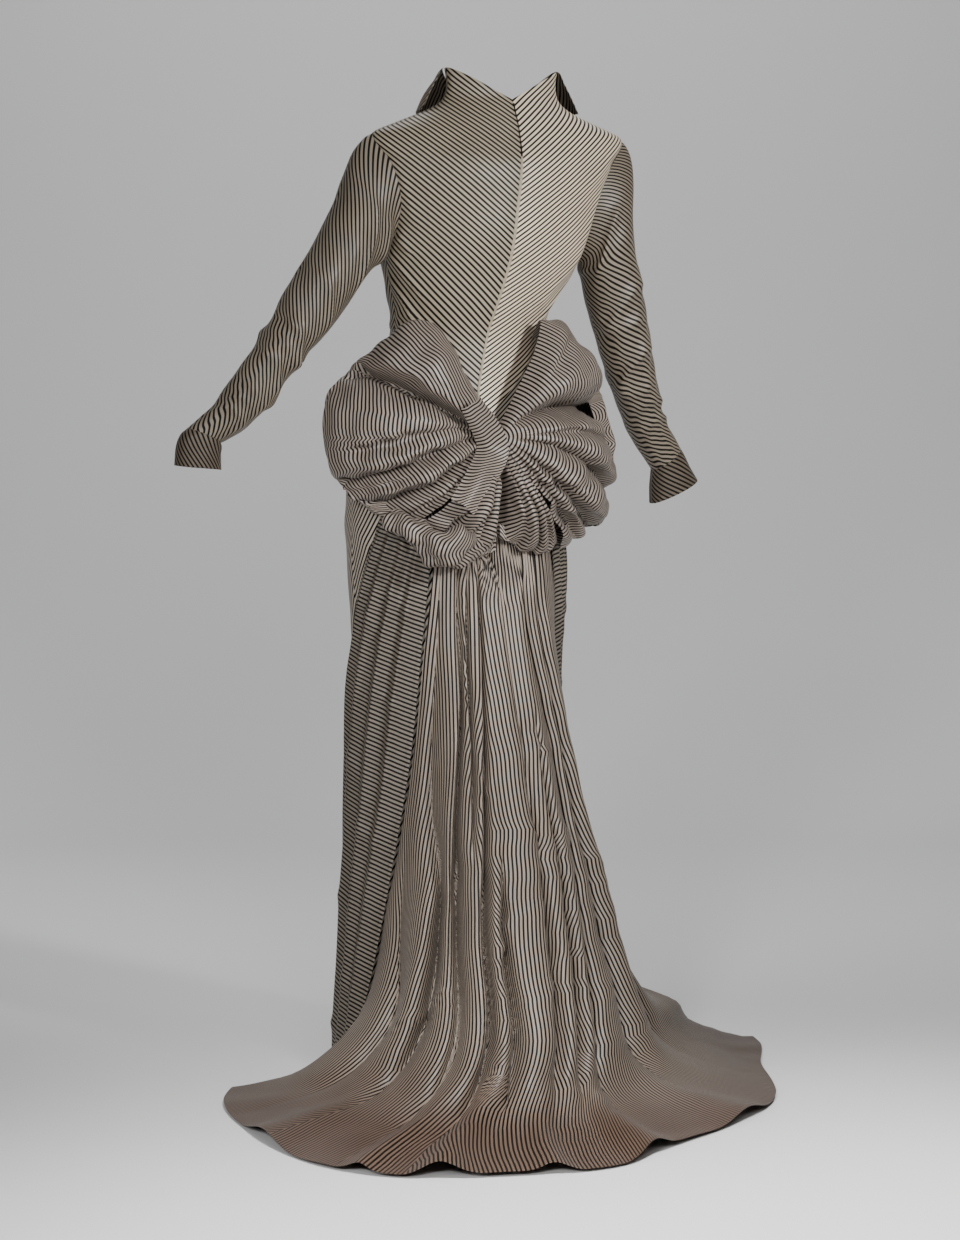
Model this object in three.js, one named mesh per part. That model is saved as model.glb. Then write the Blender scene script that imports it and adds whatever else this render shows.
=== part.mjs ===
// Evening gown of narrow striped silk taffeta, hollow, as it is worn.
//
// The frame is in millimetres with +Z up. -Y is the wearer's front, +Y the back and +X the
// wearer's left. The origin is in the middle of the neck at shoulder height, where the wearer
// holds the gown up. Every piece below is drawn by its height above the floor, and the whole
// group is then lowered by the height of the origin.
//
// Each cloth piece is a surface of two parameters. `across` runs from one side edge to the
// other, and `down` or `up` runs along the piece. A wall is that surface and a second one
// moved inwards by the cloth's thickness, closed round the edges.
import { BufferGeometry, Float32BufferAttribute, Group, Mesh, MeshStandardMaterial, Vector3 }
  from 'three';

// ---------------------------------------------------------------- driving dimensions
const ORIGIN_HEIGHT = 1450;     // shoulder level above the floor
const CLOTH = 1.3;              // silk and its interlining in the fitted pieces
const LIGHT_CLOTH = 1.0;        // single taffeta in the gathered pieces
const SEAM_GAP = 0.4;           // between two pieces that are sewn together
const WAIST = 1150;             // waist seam at the sides
const BACK_POINT = 1008;        // lower tip of the bodice at the centre back
const UNDERARM = 1262;
const SHOULDER_TIP = 1442;
const NECK_SIDE = 1495;         // where shoulder turns into collar stand
const COLLAR_PEAK = 1543;       // top of the stand at the side of the neck
const BACK_NOTCH = 1496;        // bottom of the notch in the stand at the centre back
const FRONT_NECK = 1385;        // bottom of the V at the centre front
const NECK_SCOOP = 0.65;        // under 1 draws the neckline's sides in towards the V
const SCOOP_ROWS = { first: 0.36, last: 0.76 };   // share of the front's rows where that begins
const ARMHOLE_SWING = 23;       // degrees that the armhole cuts into the front and the back
const FLOOR_CLEARANCE = 3;      // hem of the sheath above the floor
// Both halves of the bow are gathered here, each `part` to its own side.
const KNOT = { x: 48, y: 89, height: 988, part: 0.4 };

// The body of the gown as level sections. x and y are the section's centre, half its half
// width, back and front its half depths, square its roundness (2 is an ellipse), and seam the
// degrees that the centre back seam swings to the wearer's left as the hips do.
const BODY = [
  { height: 0,    x: 54, y: -34, half: 170, back: 112, front: 150, square: 2.05, seam: 0 },
  { height: 150,  x: 54, y: -34, half: 161, back: 104, front: 136, square: 2.05, seam: 0 },
  { height: 300,  x: 54, y: -34, half: 155, back: 98,  front: 123, square: 2.1,  seam: 0 },
  { height: 450,  x: 54, y: -34, half: 153, back: 97,  front: 113, square: 2.15, seam: 0 },
  { height: 650,  x: 54, y: -34, half: 158, back: 102, front: 109, square: 2.2,  seam: 0 },
  { height: 790,  x: 54, y: -34, half: 169, back: 110, front: 113, square: 2.2,  seam: 0 },
  { height: 900,  x: 54, y: -34, half: 171, back: 117, front: 113, square: 2.2,  seam: 2 },
  { height: 985,  x: 53, y: -34, half: 164, back: 114, front: 109, square: 2.2,  seam: 4 },
  { height: 1050, x: 49, y: -32, half: 144, back: 100, front: 100, square: 2.15, seam: 3.5 },
  { height: 1105, x: 42, y: -29, half: 125, back: 91,  front: 89,  square: 2.1,  seam: 2.5 },
  { height: 1150, x: 36, y: -26, half: 120, back: 88,  front: 87,  square: 2.1,  seam: 1 },
  { height: 1200, x: 29, y: -16, half: 134, back: 97,  front: 102, square: 2.1,  seam: 0 },
  { height: 1262, x: 20, y: -4,  half: 160, back: 106, front: 119, square: 2.15, seam: 0 },
  { height: 1340, x: 12, y: 2,   half: 177, back: 107, front: 116, square: 2.15, seam: 0 },
  { height: 1400, x: 5,  y: 8,   half: 195, back: 98,  front: 99,  square: 2.05, seam: 0 },
  { height: 1442, x: 0,  y: 14,  half: 209, back: 74,  front: 82,  square: 1.8,  seam: 0 },
  { height: 1463, x: 0,  y: 18,  half: 163, back: 62,  front: 69,  square: 1.8,  seam: 0 },
  { height: 1476, x: 0,  y: 21,  half: 130, back: 52,  front: 61,  square: 1.85, seam: 0 },
  { height: 1487, x: 0,  y: 23,  half: 107, back: 45,  front: 54,  square: 1.95, seam: 0 },
  { height: 1500, x: 0,  y: 24,  half: 94,  back: 37,  front: 49,  square: 2,    seam: 0 },
  { height: 1522, x: 0,  y: 25,  half: 90,  back: 34,  front: 48,  square: 2,    seam: 0 },
  { height: 1545, x: 0,  y: 26,  half: 94,  back: 35,  front: 50,  square: 2,    seam: 0 },
];

// The bust, given by the cut of the front: two soft mounds, one either side of the centre.
const BUST = { swing: 33, height: 1272, rise: 15, width: 19, length: 52 };

// Heights of the bodice at its side edge and at its centre edge, with the number of wall rows
// from there up to the next line. The armhole's rows lie closer together at its two ends.
const BACK_ROWS = [
  { rows: 3, side: WAIST,        centre: BACK_POINT },
  { rows: 2, side: WAIST + 14,   centre: WAIST - 22 },
  { rows: 7, side: UNDERARM,     centre: UNDERARM - 6 },
  { rows: 3, side: SHOULDER_TIP, centre: SHOULDER_TIP - 10 },
  { rows: 2, side: NECK_SIDE,    centre: BACK_NOTCH - 18 },
  { rows: 0, side: COLLAR_PEAK,  centre: BACK_NOTCH },
];
const FRONT_ROWS = [
  { rows: 3, side: WAIST,        centre: WAIST },
  { rows: 2, side: WAIST + 14,   centre: WAIST + 40 },
  { rows: 7, side: UNDERARM,     centre: UNDERARM },
  { rows: 3, side: SHOULDER_TIP, centre: FRONT_NECK - 48 },
  { rows: 2, side: NECK_SIDE,    centre: FRONT_NECK - 18 },
  { rows: 0, side: COLLAR_PEAK,  centre: FRONT_NECK },
];
const ARMHOLE_ROW = 2;          // the line of those tables where the armhole starts
const BODICE_COLUMNS = 9;       // wall columns in a half of the back
const SLEEVE_COLUMNS = 14;      // twice the armhole's rows, so that their points meet

// Rings of each sleeve from the armhole to the wrist. x is the distance out from the middle,
// lean the degrees that the arm points below level, wide the radius in the plane of the arm's
// bend and deep the radius from front to back.
const LEFT_SLEEVE = [
  { x: 194, y: 8,   height: 1352, lean: 9,  wide: 89, deep: 44 },
  { x: 212, y: 7,   height: 1327, lean: 22, wide: 74, deep: 50 },
  { x: 227, y: 5,   height: 1300, lean: 35, wide: 59, deep: 52 },
  { x: 244, y: 2,   height: 1274, lean: 50, wide: 49, deep: 50 },
  { x: 273, y: 0,   height: 1230, lean: 55, wide: 46, deep: 48 },
  { x: 304, y: -3,  height: 1183, lean: 57, wide: 45, deep: 46 },
  { x: 329, y: -6,  height: 1146, lean: 58, wide: 39, deep: 42 },
  { x: 350, y: -10, height: 1120, lean: 56, wide: 34, deep: 38 },
  { x: 368, y: -18, height: 1091, lean: 53, wide: 34, deep: 36 },
  { x: 385, y: -26, height: 1063, lean: 50, wide: 35, deep: 35 },
  { x: 404, y: -42, height: 1036, lean: 49, wide: 32, deep: 32 },
  { x: 420, y: -57, height: 1013, lean: 53, wide: 29, deep: 30 },
  { x: 447, y: -77, height: 989,  lean: 66, wide: 28, deep: 28 },
];
const LEFT_CUFF = [
  { x: 447, y: -77, height: 989,  lean: 66, wide: 28, deep: 28 },
  { x: 450, y: -81, height: 981,  lean: 72, wide: 33, deep: 31 },
  { x: 452, y: -87, height: 966,  lean: 77, wide: 35, deep: 33 },
  { x: 450, y: -95, height: 941,  lean: 84, wide: 36, deep: 34 },
];
const RIGHT_SLEEVE = [
  { x: 175, y: 5,   height: 1352, lean: 21, wide: 95, deep: 44 },
  { x: 189, y: 4,   height: 1317, lean: 30, wide: 74, deep: 49 },
  { x: 190, y: 3,   height: 1287, lean: 45, wide: 57, deep: 51 },
  { x: 193, y: 0,   height: 1257, lean: 67, wide: 47, deep: 49 },
  { x: 201, y: -3,  height: 1235, lean: 81, wide: 46, deep: 48 },
  { x: 208, y: -5,  height: 1206, lean: 79, wide: 46, deep: 46 },
  { x: 221, y: -8,  height: 1163, lean: 75, wide: 44, deep: 44 },
  { x: 234, y: -12, height: 1120, lean: 72, wide: 41, deep: 41 },
  { x: 246, y: -20, height: 1088, lean: 69, wide: 39, deep: 38 },
  { x: 260, y: -28, height: 1058, lean: 66, wide: 37, deep: 36 },
  { x: 278, y: -42, height: 1025, lean: 63, wide: 34, deep: 33 },
  { x: 295, y: -54, height: 997,  lean: 60, wide: 31, deep: 31 },
  { x: 338, y: -71, height: 946,  lean: 53, wide: 29, deep: 28 },
];
const RIGHT_CUFF = [
  { x: 338, y: -71, height: 946,  lean: 53, wide: 29, deep: 28 },
  { x: 344, y: -76, height: 935,  lean: 59, wide: 32, deep: 30 },
  { x: 352, y: -83, height: 917,  lean: 65, wide: 36, deep: 32 },
  { x: 364, y: -93, height: 893,  lean: 64, wide: 43, deep: 34 },
];

// Hem of the train on the floor: turn is the degrees round the hips from the wearer's left
// towards the back, reach the distance out from the middle of the hips, and slope how high the
// cloth stays on its way out to the hem.
const TRAIN_HEM = [
  { across: 0,    turn: 1,   reach: 372, slope: 12 },
  { across: 0.12, turn: 30,  reach: 526, slope: 8 },
  { across: 0.24, turn: 50,  reach: 700, slope: 0 },
  { across: 0.36, turn: 60,  reach: 750, slope: 0 },
  { across: 0.48, turn: 71,  reach: 742, slope: 0 },
  { across: 0.6,  turn: 83,  reach: 722, slope: 0 },
  { across: 0.72, turn: 98,  reach: 618, slope: 4 },
  { across: 0.84, turn: 124, reach: 548, slope: 16 },
  { across: 0.93, turn: 156, reach: 482, slope: 30 },
  { across: 1,    turn: 182, reach: 548, slope: 36 },
];
// The way a thread of the train falls. leave is the share of the way from the hips to the hem
// that it has moved out, spread the share of its turn round the body, lift its height, and
// fold how far the folds stand out there.
const TRAIN_FALL = [
  { down: 0,    height: 953, leave: 0,     spread: 0,    fold: 2 },
  { down: 0.1,  height: 890, leave: 0.004, spread: 0,    fold: 5 },
  { down: 0.2,  height: 800, leave: 0.015, spread: 0.02, fold: 8 },
  { down: 0.33, height: 680, leave: 0.06,  spread: 0.07, fold: 14 },
  { down: 0.46, height: 560, leave: 0.12,  spread: 0.14, fold: 22 },
  { down: 0.58, height: 440, leave: 0.185, spread: 0.22, fold: 29 },
  { down: 0.68, height: 330, leave: 0.25,  spread: 0.3,  fold: 35 },
  { down: 0.77, height: 215, leave: 0.32,  spread: 0.4,  fold: 39 },
  { down: 0.84, height: 120, leave: 0.4,   spread: 0.52, fold: 38 },
  { down: 0.89, height: 52,  leave: 0.48,  spread: 0.68, fold: 30 },
  { down: 0.93, height: 16,  leave: 0.6,   spread: 0.84, fold: 19 },
  { down: 0.965, height: 6,  leave: 0.79,  spread: 0.95, fold: 11 },
  { down: 1,    height: 3,   leave: 1,     spread: 1,    fold: 7 },
];
// Degrees at the train's gathered top, and its stand-off there and below.
const TRAIN_TOP = { first: 68, last: 131, seat: 1.9, stand: 9, below: 0.08 };
// The train's side edges lie just behind the drapes' back edges until they near the floor.
const TRAIN_EDGE = { share: 0.1, turn: 1.6, low: 40, high: 200 };
// Folds of the train: place across it, half width, height against the others, and the part of
// its fall, from start to end, over which each one shows.
const TRAIN_FOLDS = [
  { across: 0.02,  width: 0.028, height: 0.7,  start: 0.15, end: 1.2 },
  { across: 0.075, width: 0.026, height: 0.95, start: 0,    end: 0.9 },
  { across: 0.13,  width: 0.024, height: 0.75, start: 0,    end: 1.2 },
  { across: 0.185, width: 0.026, height: 1,    start: 0,    end: 1.2 },
  { across: 0.24,  width: 0.022, height: 0.7,  start: 0,    end: 0.8 },
  { across: 0.29,  width: 0.026, height: 1.05, start: 0,    end: 1.2 },
  { across: 0.345, width: 0.024, height: 0.85, start: 0,    end: 1.2 },
  { across: 0.395, width: 0.022, height: 0.95, start: 0,    end: 0.95 },
  { across: 0.45,  width: 0.03,  height: 0.8,  start: 0,    end: 1.2 },
  { across: 0.515, width: 0.034, height: 0.95, start: 0,    end: 1.2 },
  { across: 0.59,  width: 0.036, height: 0.8,  start: 0,    end: 1.2 },
  { across: 0.665, width: 0.036, height: 0.95, start: 0,    end: 1.2 },
  { across: 0.735, width: 0.03,  height: 0.7,  start: 0,    end: 1.2 },
  { across: 0.8,   width: 0.03,  height: 0.9,  start: 0,    end: 1.2 },
  { across: 0.87,  width: 0.032, height: 0.65, start: 0,    end: 1.2 },
  { across: 0.945, width: 0.034, height: 0.75, start: 0,    end: 1.2 },
];

// Side drapes: turn of the front and back edges round the body, stand-off from the sheath at
// the front, how much more the back edge stands off, and the height of the lengthwise folds.
const LEFT_DRAPE = [
  { down: 0,    height: 905, front: 38,  back: 66, stand: 1.7, proud: 0, fold: 2 },
  { down: 0.12, height: 800, front: 20,  back: 63, stand: 6,  proud: 6,  fold: 7 },
  { down: 0.28, height: 660, front: -6,  back: 57, stand: 8,  proud: 8,  fold: 10 },
  { down: 0.45, height: 500, front: -24, back: 50, stand: 10, proud: 9,  fold: 11 },
  { down: 0.62, height: 350, front: -33, back: 40, stand: 12, proud: 10, fold: 11 },
  { down: 0.8,  height: 180, front: -38, back: 27, stand: 15, proud: 8,  fold: 10 },
  { down: 1,    height: 4,   front: -40, back: 8,  stand: 14, proud: 3,  fold: 8 },
];
const RIGHT_DRAPE = [
  { down: 0,    height: 905, front: 34,  back: 52, stand: 1.7, proud: 0, fold: 2 },
  { down: 0.12, height: 800, front: 20,  back: 45, stand: 6,  proud: 2,  fold: 7 },
  { down: 0.28, height: 660, front: -6,  back: 33, stand: 8,  proud: 2,  fold: 9 },
  { down: 0.45, height: 500, front: -24, back: 25, stand: 14, proud: 3,  fold: 10 },
  { down: 0.62, height: 350, front: -33, back: 18, stand: 17, proud: 3,  fold: 10 },
  { down: 0.8,  height: 180, front: -38, back: 9,  stand: 19, proud: 3,  fold: 9 },
  { down: 1,    height: 4,   front: -40, back: 0,  stand: 14, proud: 2,  fold: 7 },
];
const DRAPE_FOLDS = [
  { across: 0.12, width: 0.07,  height: 0.8 },
  { across: 0.34, width: 0.085, height: 1 },
  { across: 0.58, width: 0.08,  height: 0.95 },
  { across: 0.8,  width: 0.07,  height: 0.7 },
];

// Each half of the bow is a fan of cloth that billows from the knot. clock is the degrees from
// straight up round to straight down, reach its outline, and puff how far it stands off.
const LEFT_BOW = [
  { clock: 27,  reach: 192, puff: 0.28 },
  { clock: 38,  reach: 207, puff: 0.62 },
  { clock: 52,  reach: 219, puff: 0.86 },
  { clock: 66,  reach: 234, puff: 0.95 },
  { clock: 80,  reach: 243, puff: 1 },
  { clock: 94,  reach: 243, puff: 1 },
  { clock: 108, reach: 233, puff: 1 },
  { clock: 122, reach: 210, puff: 0.96 },
  { clock: 136, reach: 178, puff: 0.86 },
];
const LEFT_LOOP = [
  { clock: 137.2, reach: 170, puff: 0.7 },
  { clock: 150, reach: 176, puff: 0.95 },
  { clock: 162, reach: 184, puff: 1.05 },
  { clock: 171, reach: 185, puff: 0.9 },
  { clock: 179, reach: 172, puff: 0.6 },
];
const RIGHT_BOW = [
  { clock: 27,  reach: 192, puff: 0.28 },
  { clock: 36,  reach: 209, puff: 0.6 },
  { clock: 48,  reach: 212, puff: 0.84 },
  { clock: 62,  reach: 218, puff: 0.95 },
  { clock: 78,  reach: 240, puff: 1 },
  { clock: 92,  reach: 258, puff: 1 },
  { clock: 106, reach: 254, puff: 1 },
  { clock: 120, reach: 248, puff: 0.98 },
  { clock: 134, reach: 230, puff: 0.92 },
  { clock: 146, reach: 202, puff: 0.8 },
];
const RIGHT_LOOP = [
  { clock: 147.2, reach: 192, puff: 0.72 },
  { clock: 158, reach: 190, puff: 0.95 },
  { clock: 168, reach: 176, puff: 0.95 },
  { clock: 179, reach: 150, puff: 0.5 },
];
// Creases between the billows, in the degrees of the fan, as deep as they are at the crown.
const LEFT_CREASES = [
  { clock: 44,  width: 4.5, depth: 24 },
  { clock: 61,  width: 3.5, depth: 12 },
  { clock: 78,  width: 4,   depth: 22 },
  { clock: 91,  width: 3.2, depth: 15 },
  { clock: 103, width: 3.5, depth: 20 },
  { clock: 114, width: 3.2, depth: 17 },
  { clock: 126, width: 3.4, depth: 22 },
];
const LEFT_LOOP_CREASES = [
  { clock: 147, width: 3.4, depth: 16 },
  { clock: 159, width: 3.6, depth: 24 },
  { clock: 171, width: 3.2, depth: 18 },
];
const RIGHT_CREASES = [
  { clock: 41,  width: 3.2, depth: 14 },
  { clock: 57,  width: 4.4, depth: 26 },
  { clock: 71,  width: 3.6, depth: 24 },
  { clock: 85,  width: 3.2, depth: 13 },
  { clock: 99,  width: 3.6, depth: 20 },
  { clock: 113, width: 3.2, depth: 15 },
  { clock: 125, width: 3.4, depth: 20 },
  { clock: 136, width: 3.2, depth: 17 },
];
const RIGHT_LOOP_CREASES = [
  { clock: 156, width: 3.4, depth: 20 },
  { clock: 168, width: 3.2, depth: 18 },
];
// Section of the bow from the knot over the crown to the tucked edge: out is the share of the
// reach, off the distance out from the gown's back.
const BOW_SECTION = [
  { along: 0,    out: 0.16, off: -14 },
  { along: 0.14, out: 0.25, off: 46 },
  { along: 0.3,  out: 0.44, off: 84 },
  { along: 0.46, out: 0.7,  off: 100 },
  { along: 0.6,  out: 0.9,  off: 80 },
  { along: 0.73, out: 1,    off: 42 },
  { along: 0.85, out: 0.99, off: 16 },
  { along: 1,    out: 0.86, off: 5 },
];
const BOW_SAG = { at: 250, depth: 96, bend: 1.4 };   // the bow bends forward round the hips
const BOW_LEDGE = { from: 105, to: 140, off: 24 };   // its underside clears train and drapes
const BOW_SEAT = -0.5;          // the gathers lie on the back's facets, just inside its round form
const BOW_SWELL = { in: 0.5, out: 0.74, draw: 0.3 };   // part of the section that billows

// The collar's turned-down wings: turn of the fold line from the side of the neck to the
// centre front, and how far the free edge hangs out and down from it.
const WING = [
  { along: 0,    turn: -2,  out: 36, drop: 63 },
  { along: 0.3,  turn: -22, out: 42, drop: 60 },
  { along: 0.6,  turn: -48, out: 44, drop: 60 },
  { along: 0.85, turn: -70, out: 36, drop: 56 },
  { along: 1,    turn: -82, out: 14, drop: 40 },
];
const WING_CLEAR = 3.2;         // between the bodice and a wing that lies on it
const WING_ROLL = { rise: 3, least: 1.5, most: 6 };   // how far the fold line rolls up and out

// Colours of the shot silk, light to dark.
const SILK = { body: 0xa49b8d, drape: 0x8d857b, train: 0x7f776d };

// ---------------------------------------------------------------- small tools
const radians = (degrees) => (degrees * Math.PI) / 180;
const clamp01 = (value) => Math.min(1, Math.max(0, value));
const smooth = (value) => clamp01(value) ** 2 * (3 - 2 * clamp01(value));
const mix = (from, to, share) => from + (to - from) * share;
const power = (value, exponent) => Math.sign(value) * Math.abs(value) ** exponent;

// A smooth curve through the rows of a table, read at any value of its key column.
function track(rows, key) {
  const columns = Object.keys(rows[0]).filter((name) => name !== key);
  const slopeAt = (i, name) => {
    const before = rows[Math.max(i - 1, 0)];
    const after = rows[Math.min(i + 1, rows.length - 1)];
    return (after[name] - before[name]) / (after[key] - before[key]);
  };
  return (value) => {
    const at = Math.min(Math.max(value, rows[0][key]), rows[rows.length - 1][key]);
    const i = Math.max(0, Math.min(rows.length - 2, rows.findIndex((row) => row[key] > at) - 1));
    const last = at >= rows[rows.length - 1][key];
    const k = last ? rows.length - 2 : i;
    const span = rows[k + 1][key] - rows[k][key];
    const t = (at - rows[k][key]) / span;
    const result = {};
    for (const name of columns) {
      const rise = t ** 3 - 2 * t ** 2 + t;
      const arrive = t ** 3 - t ** 2;
      result[name] = (2 * t ** 3 - 3 * t ** 2 + 1) * rows[k][name] + rise * span * slopeAt(k, name)
        + (3 * t ** 2 - 2 * t ** 3) * rows[k + 1][name] + arrive * span * slopeAt(k + 1, name);
    }
    return result;
  };
}

// Heights at the side and the centre of a bodice row, `up` being the share of all its rows.
function rowHeights(table) {
  const total = bodiceRows(table);
  return (up) => {
    let place = clamp01(up) * total;
    let k = 0;
    while (k < table.length - 2 && place > table[k].rows) {
      place -= table[k].rows;
      k += 1;
    }
    const straight = place / table[k].rows;
    const share = k === ARMHOLE_ROW ? (1 - Math.cos(Math.PI * straight)) / 2 : straight;
    return {
      side: mix(table[k].side, table[k + 1].side, share),
      centre: mix(table[k].centre, table[k + 1].centre, share),
    };
  };
}

// A closed wall on a surface. The surface's normal (across x along) points out of the cloth's
// face, or into it when flipped. A ring closes on itself across. The normals look a column past
// the side edges, so two pieces of one surface meet squarely at their seam.
function wall(surface, columns, rows, thickness, { ring = false, flip = false } = {}) {
  const wide = ring ? columns : columns + 1;
  const at = (i, j) => (ring ? i % columns : i) + j * wide;
  const face = [];
  for (let j = 0; j <= rows; j += 1) {
    for (let i = 0; i < wide; i += 1) face.push(surface(i / columns, j / rows));
  }
  const back = face.map((point, index) => {
    const u = (index % wide) / columns;
    const v = Math.floor(index / wide) / rows;
    const left = surface(u - 1 / columns, v);
    const right = surface(u + 1 / columns, v);
    const low = surface(u, Math.max(v - 1 / rows, 0));
    const high = surface(u, Math.min(v + 1 / rows, 1));
    const normal = right.sub(left).cross(high.sub(low)).normalize();
    return point.clone().addScaledVector(normal, flip ? thickness : -thickness);
  });
  const triangles = [];
  const quad = (a, b, c, d) => triangles.push(...(flip ? [c, b, a, d, c, a] : [a, b, c, a, c, d]));
  const under = face.length;
  for (let j = 0; j < rows; j += 1) {
    for (let i = 0; i < columns; i += 1) {
      quad(at(i, j), at(i + 1, j), at(i + 1, j + 1), at(i, j + 1));
      quad(under + at(i, j), under + at(i, j + 1), under + at(i + 1, j + 1), under + at(i + 1, j));
    }
  }
  for (let i = 0; i < columns; i += 1) {
    quad(under + at(i, 0), under + at(i + 1, 0), at(i + 1, 0), at(i, 0));
    quad(at(i, rows), at(i + 1, rows), under + at(i + 1, rows), under + at(i, rows));
  }
  if (!ring) {
    for (let j = 0; j < rows; j += 1) {
      quad(at(0, j), at(0, j + 1), under + at(0, j + 1), under + at(0, j));
      quad(under + at(columns, j), under + at(columns, j + 1), at(columns, j + 1), at(columns, j));
    }
  }
  const geometry = new BufferGeometry();
  const positions = [...face, ...back].flatMap((point) => [point.x, point.y, point.z]);
  geometry.setAttribute('position', new Float32BufferAttribute(positions, 3));
  geometry.setIndex(triangles);
  geometry.computeVertexNormals();
  return geometry;
}

function piece(name, geometry, color) {
  const material = new MeshStandardMaterial({ color, roughness: 0.45, metalness: 0 });
  const mesh = new Mesh(geometry, material);
  mesh.name = name;
  return mesh;
}

// ---------------------------------------------------------------- the body of the gown
const body = track(BODY, 'height');

// A point on the gown's body, `off` outside it, at a turn round it from the wearer's left.
function bodyPoint(turn, height, off = 0) {
  const section = body(height);
  const exponent = 2 / section.square;
  const cosine = Math.cos(radians(turn));
  const sine = Math.sin(radians(turn));
  const depth = (sine > 0 ? section.back : section.front) + off;
  return new Vector3(section.x + (section.half + off) * power(cosine, exponent),
    section.y + depth * power(sine, exponent), height);
}

// How far the armhole cuts in at a height, in degrees: a rounded U from underarm to shoulder.
function armholeSwing(height) {
  const share = clamp01((height - UNDERARM) / (SHOULDER_TIP - UNDERARM));
  return ARMHOLE_SWING * Math.sin(Math.PI * share) ** 0.6;
}

// Share of the way from the side seams to the centre back seam, by how far in it lies.
function towardsSeam(turn, seam) {
  const cosine = Math.cos(radians(turn));
  const middle = Math.cos(radians(seam));
  return turn < seam ? (1 - cosine) / (1 - middle) : (1 + cosine) / (1 + middle);
}

// Height of the seam at the foot of the bodice: level in front, running down to a point behind.
function waistHeight(turn) {
  if (turn <= 0) return WAIST;
  return mix(WAIST, BACK_POINT, towardsSeam(turn, 90 - body(BACK_POINT).seam));
}

// Degrees that leave half a seam's gap beside a seam that crosses a section's widest or
// deepest point, where `radius` is measured along the seam's own way round.
function gapTurn(radius, square = 2) {
  const ratio = SEAM_GAP / 2 / radius;
  return Math.max(ratio, ratio ** (square / 2)) * (180 / Math.PI);
}

const bodiceRows = (table) => table.reduce((sum, line) => sum + line.rows, 0);

// One half of the back, from the side seam and armhole to the centre back seam.
function backHalf(side) {
  const heights = rowHeights(BACK_ROWS);
  const surface = (across, up) => {
    const row = heights(up);
    const foot = body(row.side);
    const edge = armholeSwing(row.side) + gapTurn(foot.back, foot.square);
    const seam = 90 - side * body(row.centre).seam - gapTurn(body(row.centre).half);
    const swing = mix(edge, seam, across);
    const reach = (Math.cos(radians(edge)) - Math.cos(radians(swing)))
      / (Math.cos(radians(edge)) - Math.cos(radians(seam)));
    const turn = side > 0 ? swing : 180 - swing;
    return bodyPoint(turn, mix(row.side, row.centre, reach));
  };
  return wall(surface, BODICE_COLUMNS, bodiceRows(BACK_ROWS), CLOTH, { flip: side < 0 });
}

// The front in one piece, from side seam to side seam, with its V neck.
function frontPanel() {
  const heights = rowHeights(FRONT_ROWS);
  const surface = (across, up) => {
    const row = heights(up);
    const edge = armholeSwing(row.side) + gapTurn(body(row.side).front, body(row.side).square);
    const turn = mix(-180 + edge, -edge, across);
    const reach = Math.abs(Math.cos(radians(turn))) / Math.cos(radians(edge));
    const scooped = (up - SCOOP_ROWS.first) / (SCOOP_ROWS.last - SCOOP_ROWS.first);
    const scoop = mix(1, NECK_SCOOP, smooth(scooped));
    const height = mix(row.centre, row.side, clamp01(reach) ** scoop);
    const mound = Math.exp(-(((Math.abs(turn + 90) - BUST.swing) / BUST.width) ** 2)
      - ((height - BUST.height) / BUST.length) ** 2);
    return bodyPoint(turn, height, BUST.rise * mound);
  };
  return wall(surface, 2 * BODICE_COLUMNS, bodiceRows(FRONT_ROWS), CLOTH);
}

// ---------------------------------------------------------------- sleeves and cuffs
const CAP_ROLL = 26;            // how far the head of the sleeve rolls out before it falls

// A point on a ring of the sleeve: clock 0 is the outer side, 90 the back, 180 the underarm.
function ringPoint(ring, side, clock, direction) {
  const outer = new Vector3(side * Math.sin(radians(ring.lean)), 0, Math.cos(radians(ring.lean)));
  const rear = new Vector3().crossVectors(outer, direction).multiplyScalar(side).normalize();
  const centre = new Vector3(side * ring.x, ring.y, ring.height);
  return centre.addScaledVector(outer, ring.wide * Math.cos(clock))
    .addScaledVector(rear, ring.deep * Math.sin(clock));
}

function armholePoint(side, clock) {
  const height = mix(UNDERARM, SHOULDER_TIP, (1 + Math.cos(clock)) / 2);
  const swing = armholeSwing(height) * Math.sign(Math.sin(clock));
  return bodyPoint(side > 0 ? swing : 180 - swing, height);
}

function ringWay(ring, side) {
  return new Vector3(side * Math.cos(radians(ring.lean)), 0, -Math.sin(radians(ring.lean)));
}

function sleeve(rings, side) {
  const table = track(rings.map((ring, index) => ({ ...ring, index })), 'index');
  const count = rings.length - 1;
  const surface = (around, down) => {
    const clock = 2 * Math.PI * around;
    const place = down * count;
    const ring = table(place);
    const onArm = ringPoint(ring, side, clock, ringWay(ring, side));
    if (down === 1) onArm.addScaledVector(ringWay(ring, side), -SEAM_GAP);
    const settle = smooth(place / 2.2);
    if (settle === 1) return onArm;
    const start = armholePoint(side, clock).addScaledVector(ringWay(rings[0], side), SEAM_GAP);
    start.addScaledVector(ringWay(rings[1], side), CAP_ROLL * place * (1 + Math.cos(clock)) / 2);
    return start.lerp(onArm, settle);
  };
  return wall(surface, SLEEVE_COLUMNS, 14, CLOTH, { ring: true, flip: side > 0 });
}

function cuff(rings, side) {
  const table = track(rings.map((ring, index) => ({ ...ring, index })), 'index');
  const surface = (around, down) => {
    const ring = table(down * (rings.length - 1));
    return ringPoint(ring, side, 2 * Math.PI * around, ringWay(ring, side));
  };
  return wall(surface, SLEEVE_COLUMNS, 3, CLOTH, { ring: true, flip: side > 0 });
}

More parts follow.
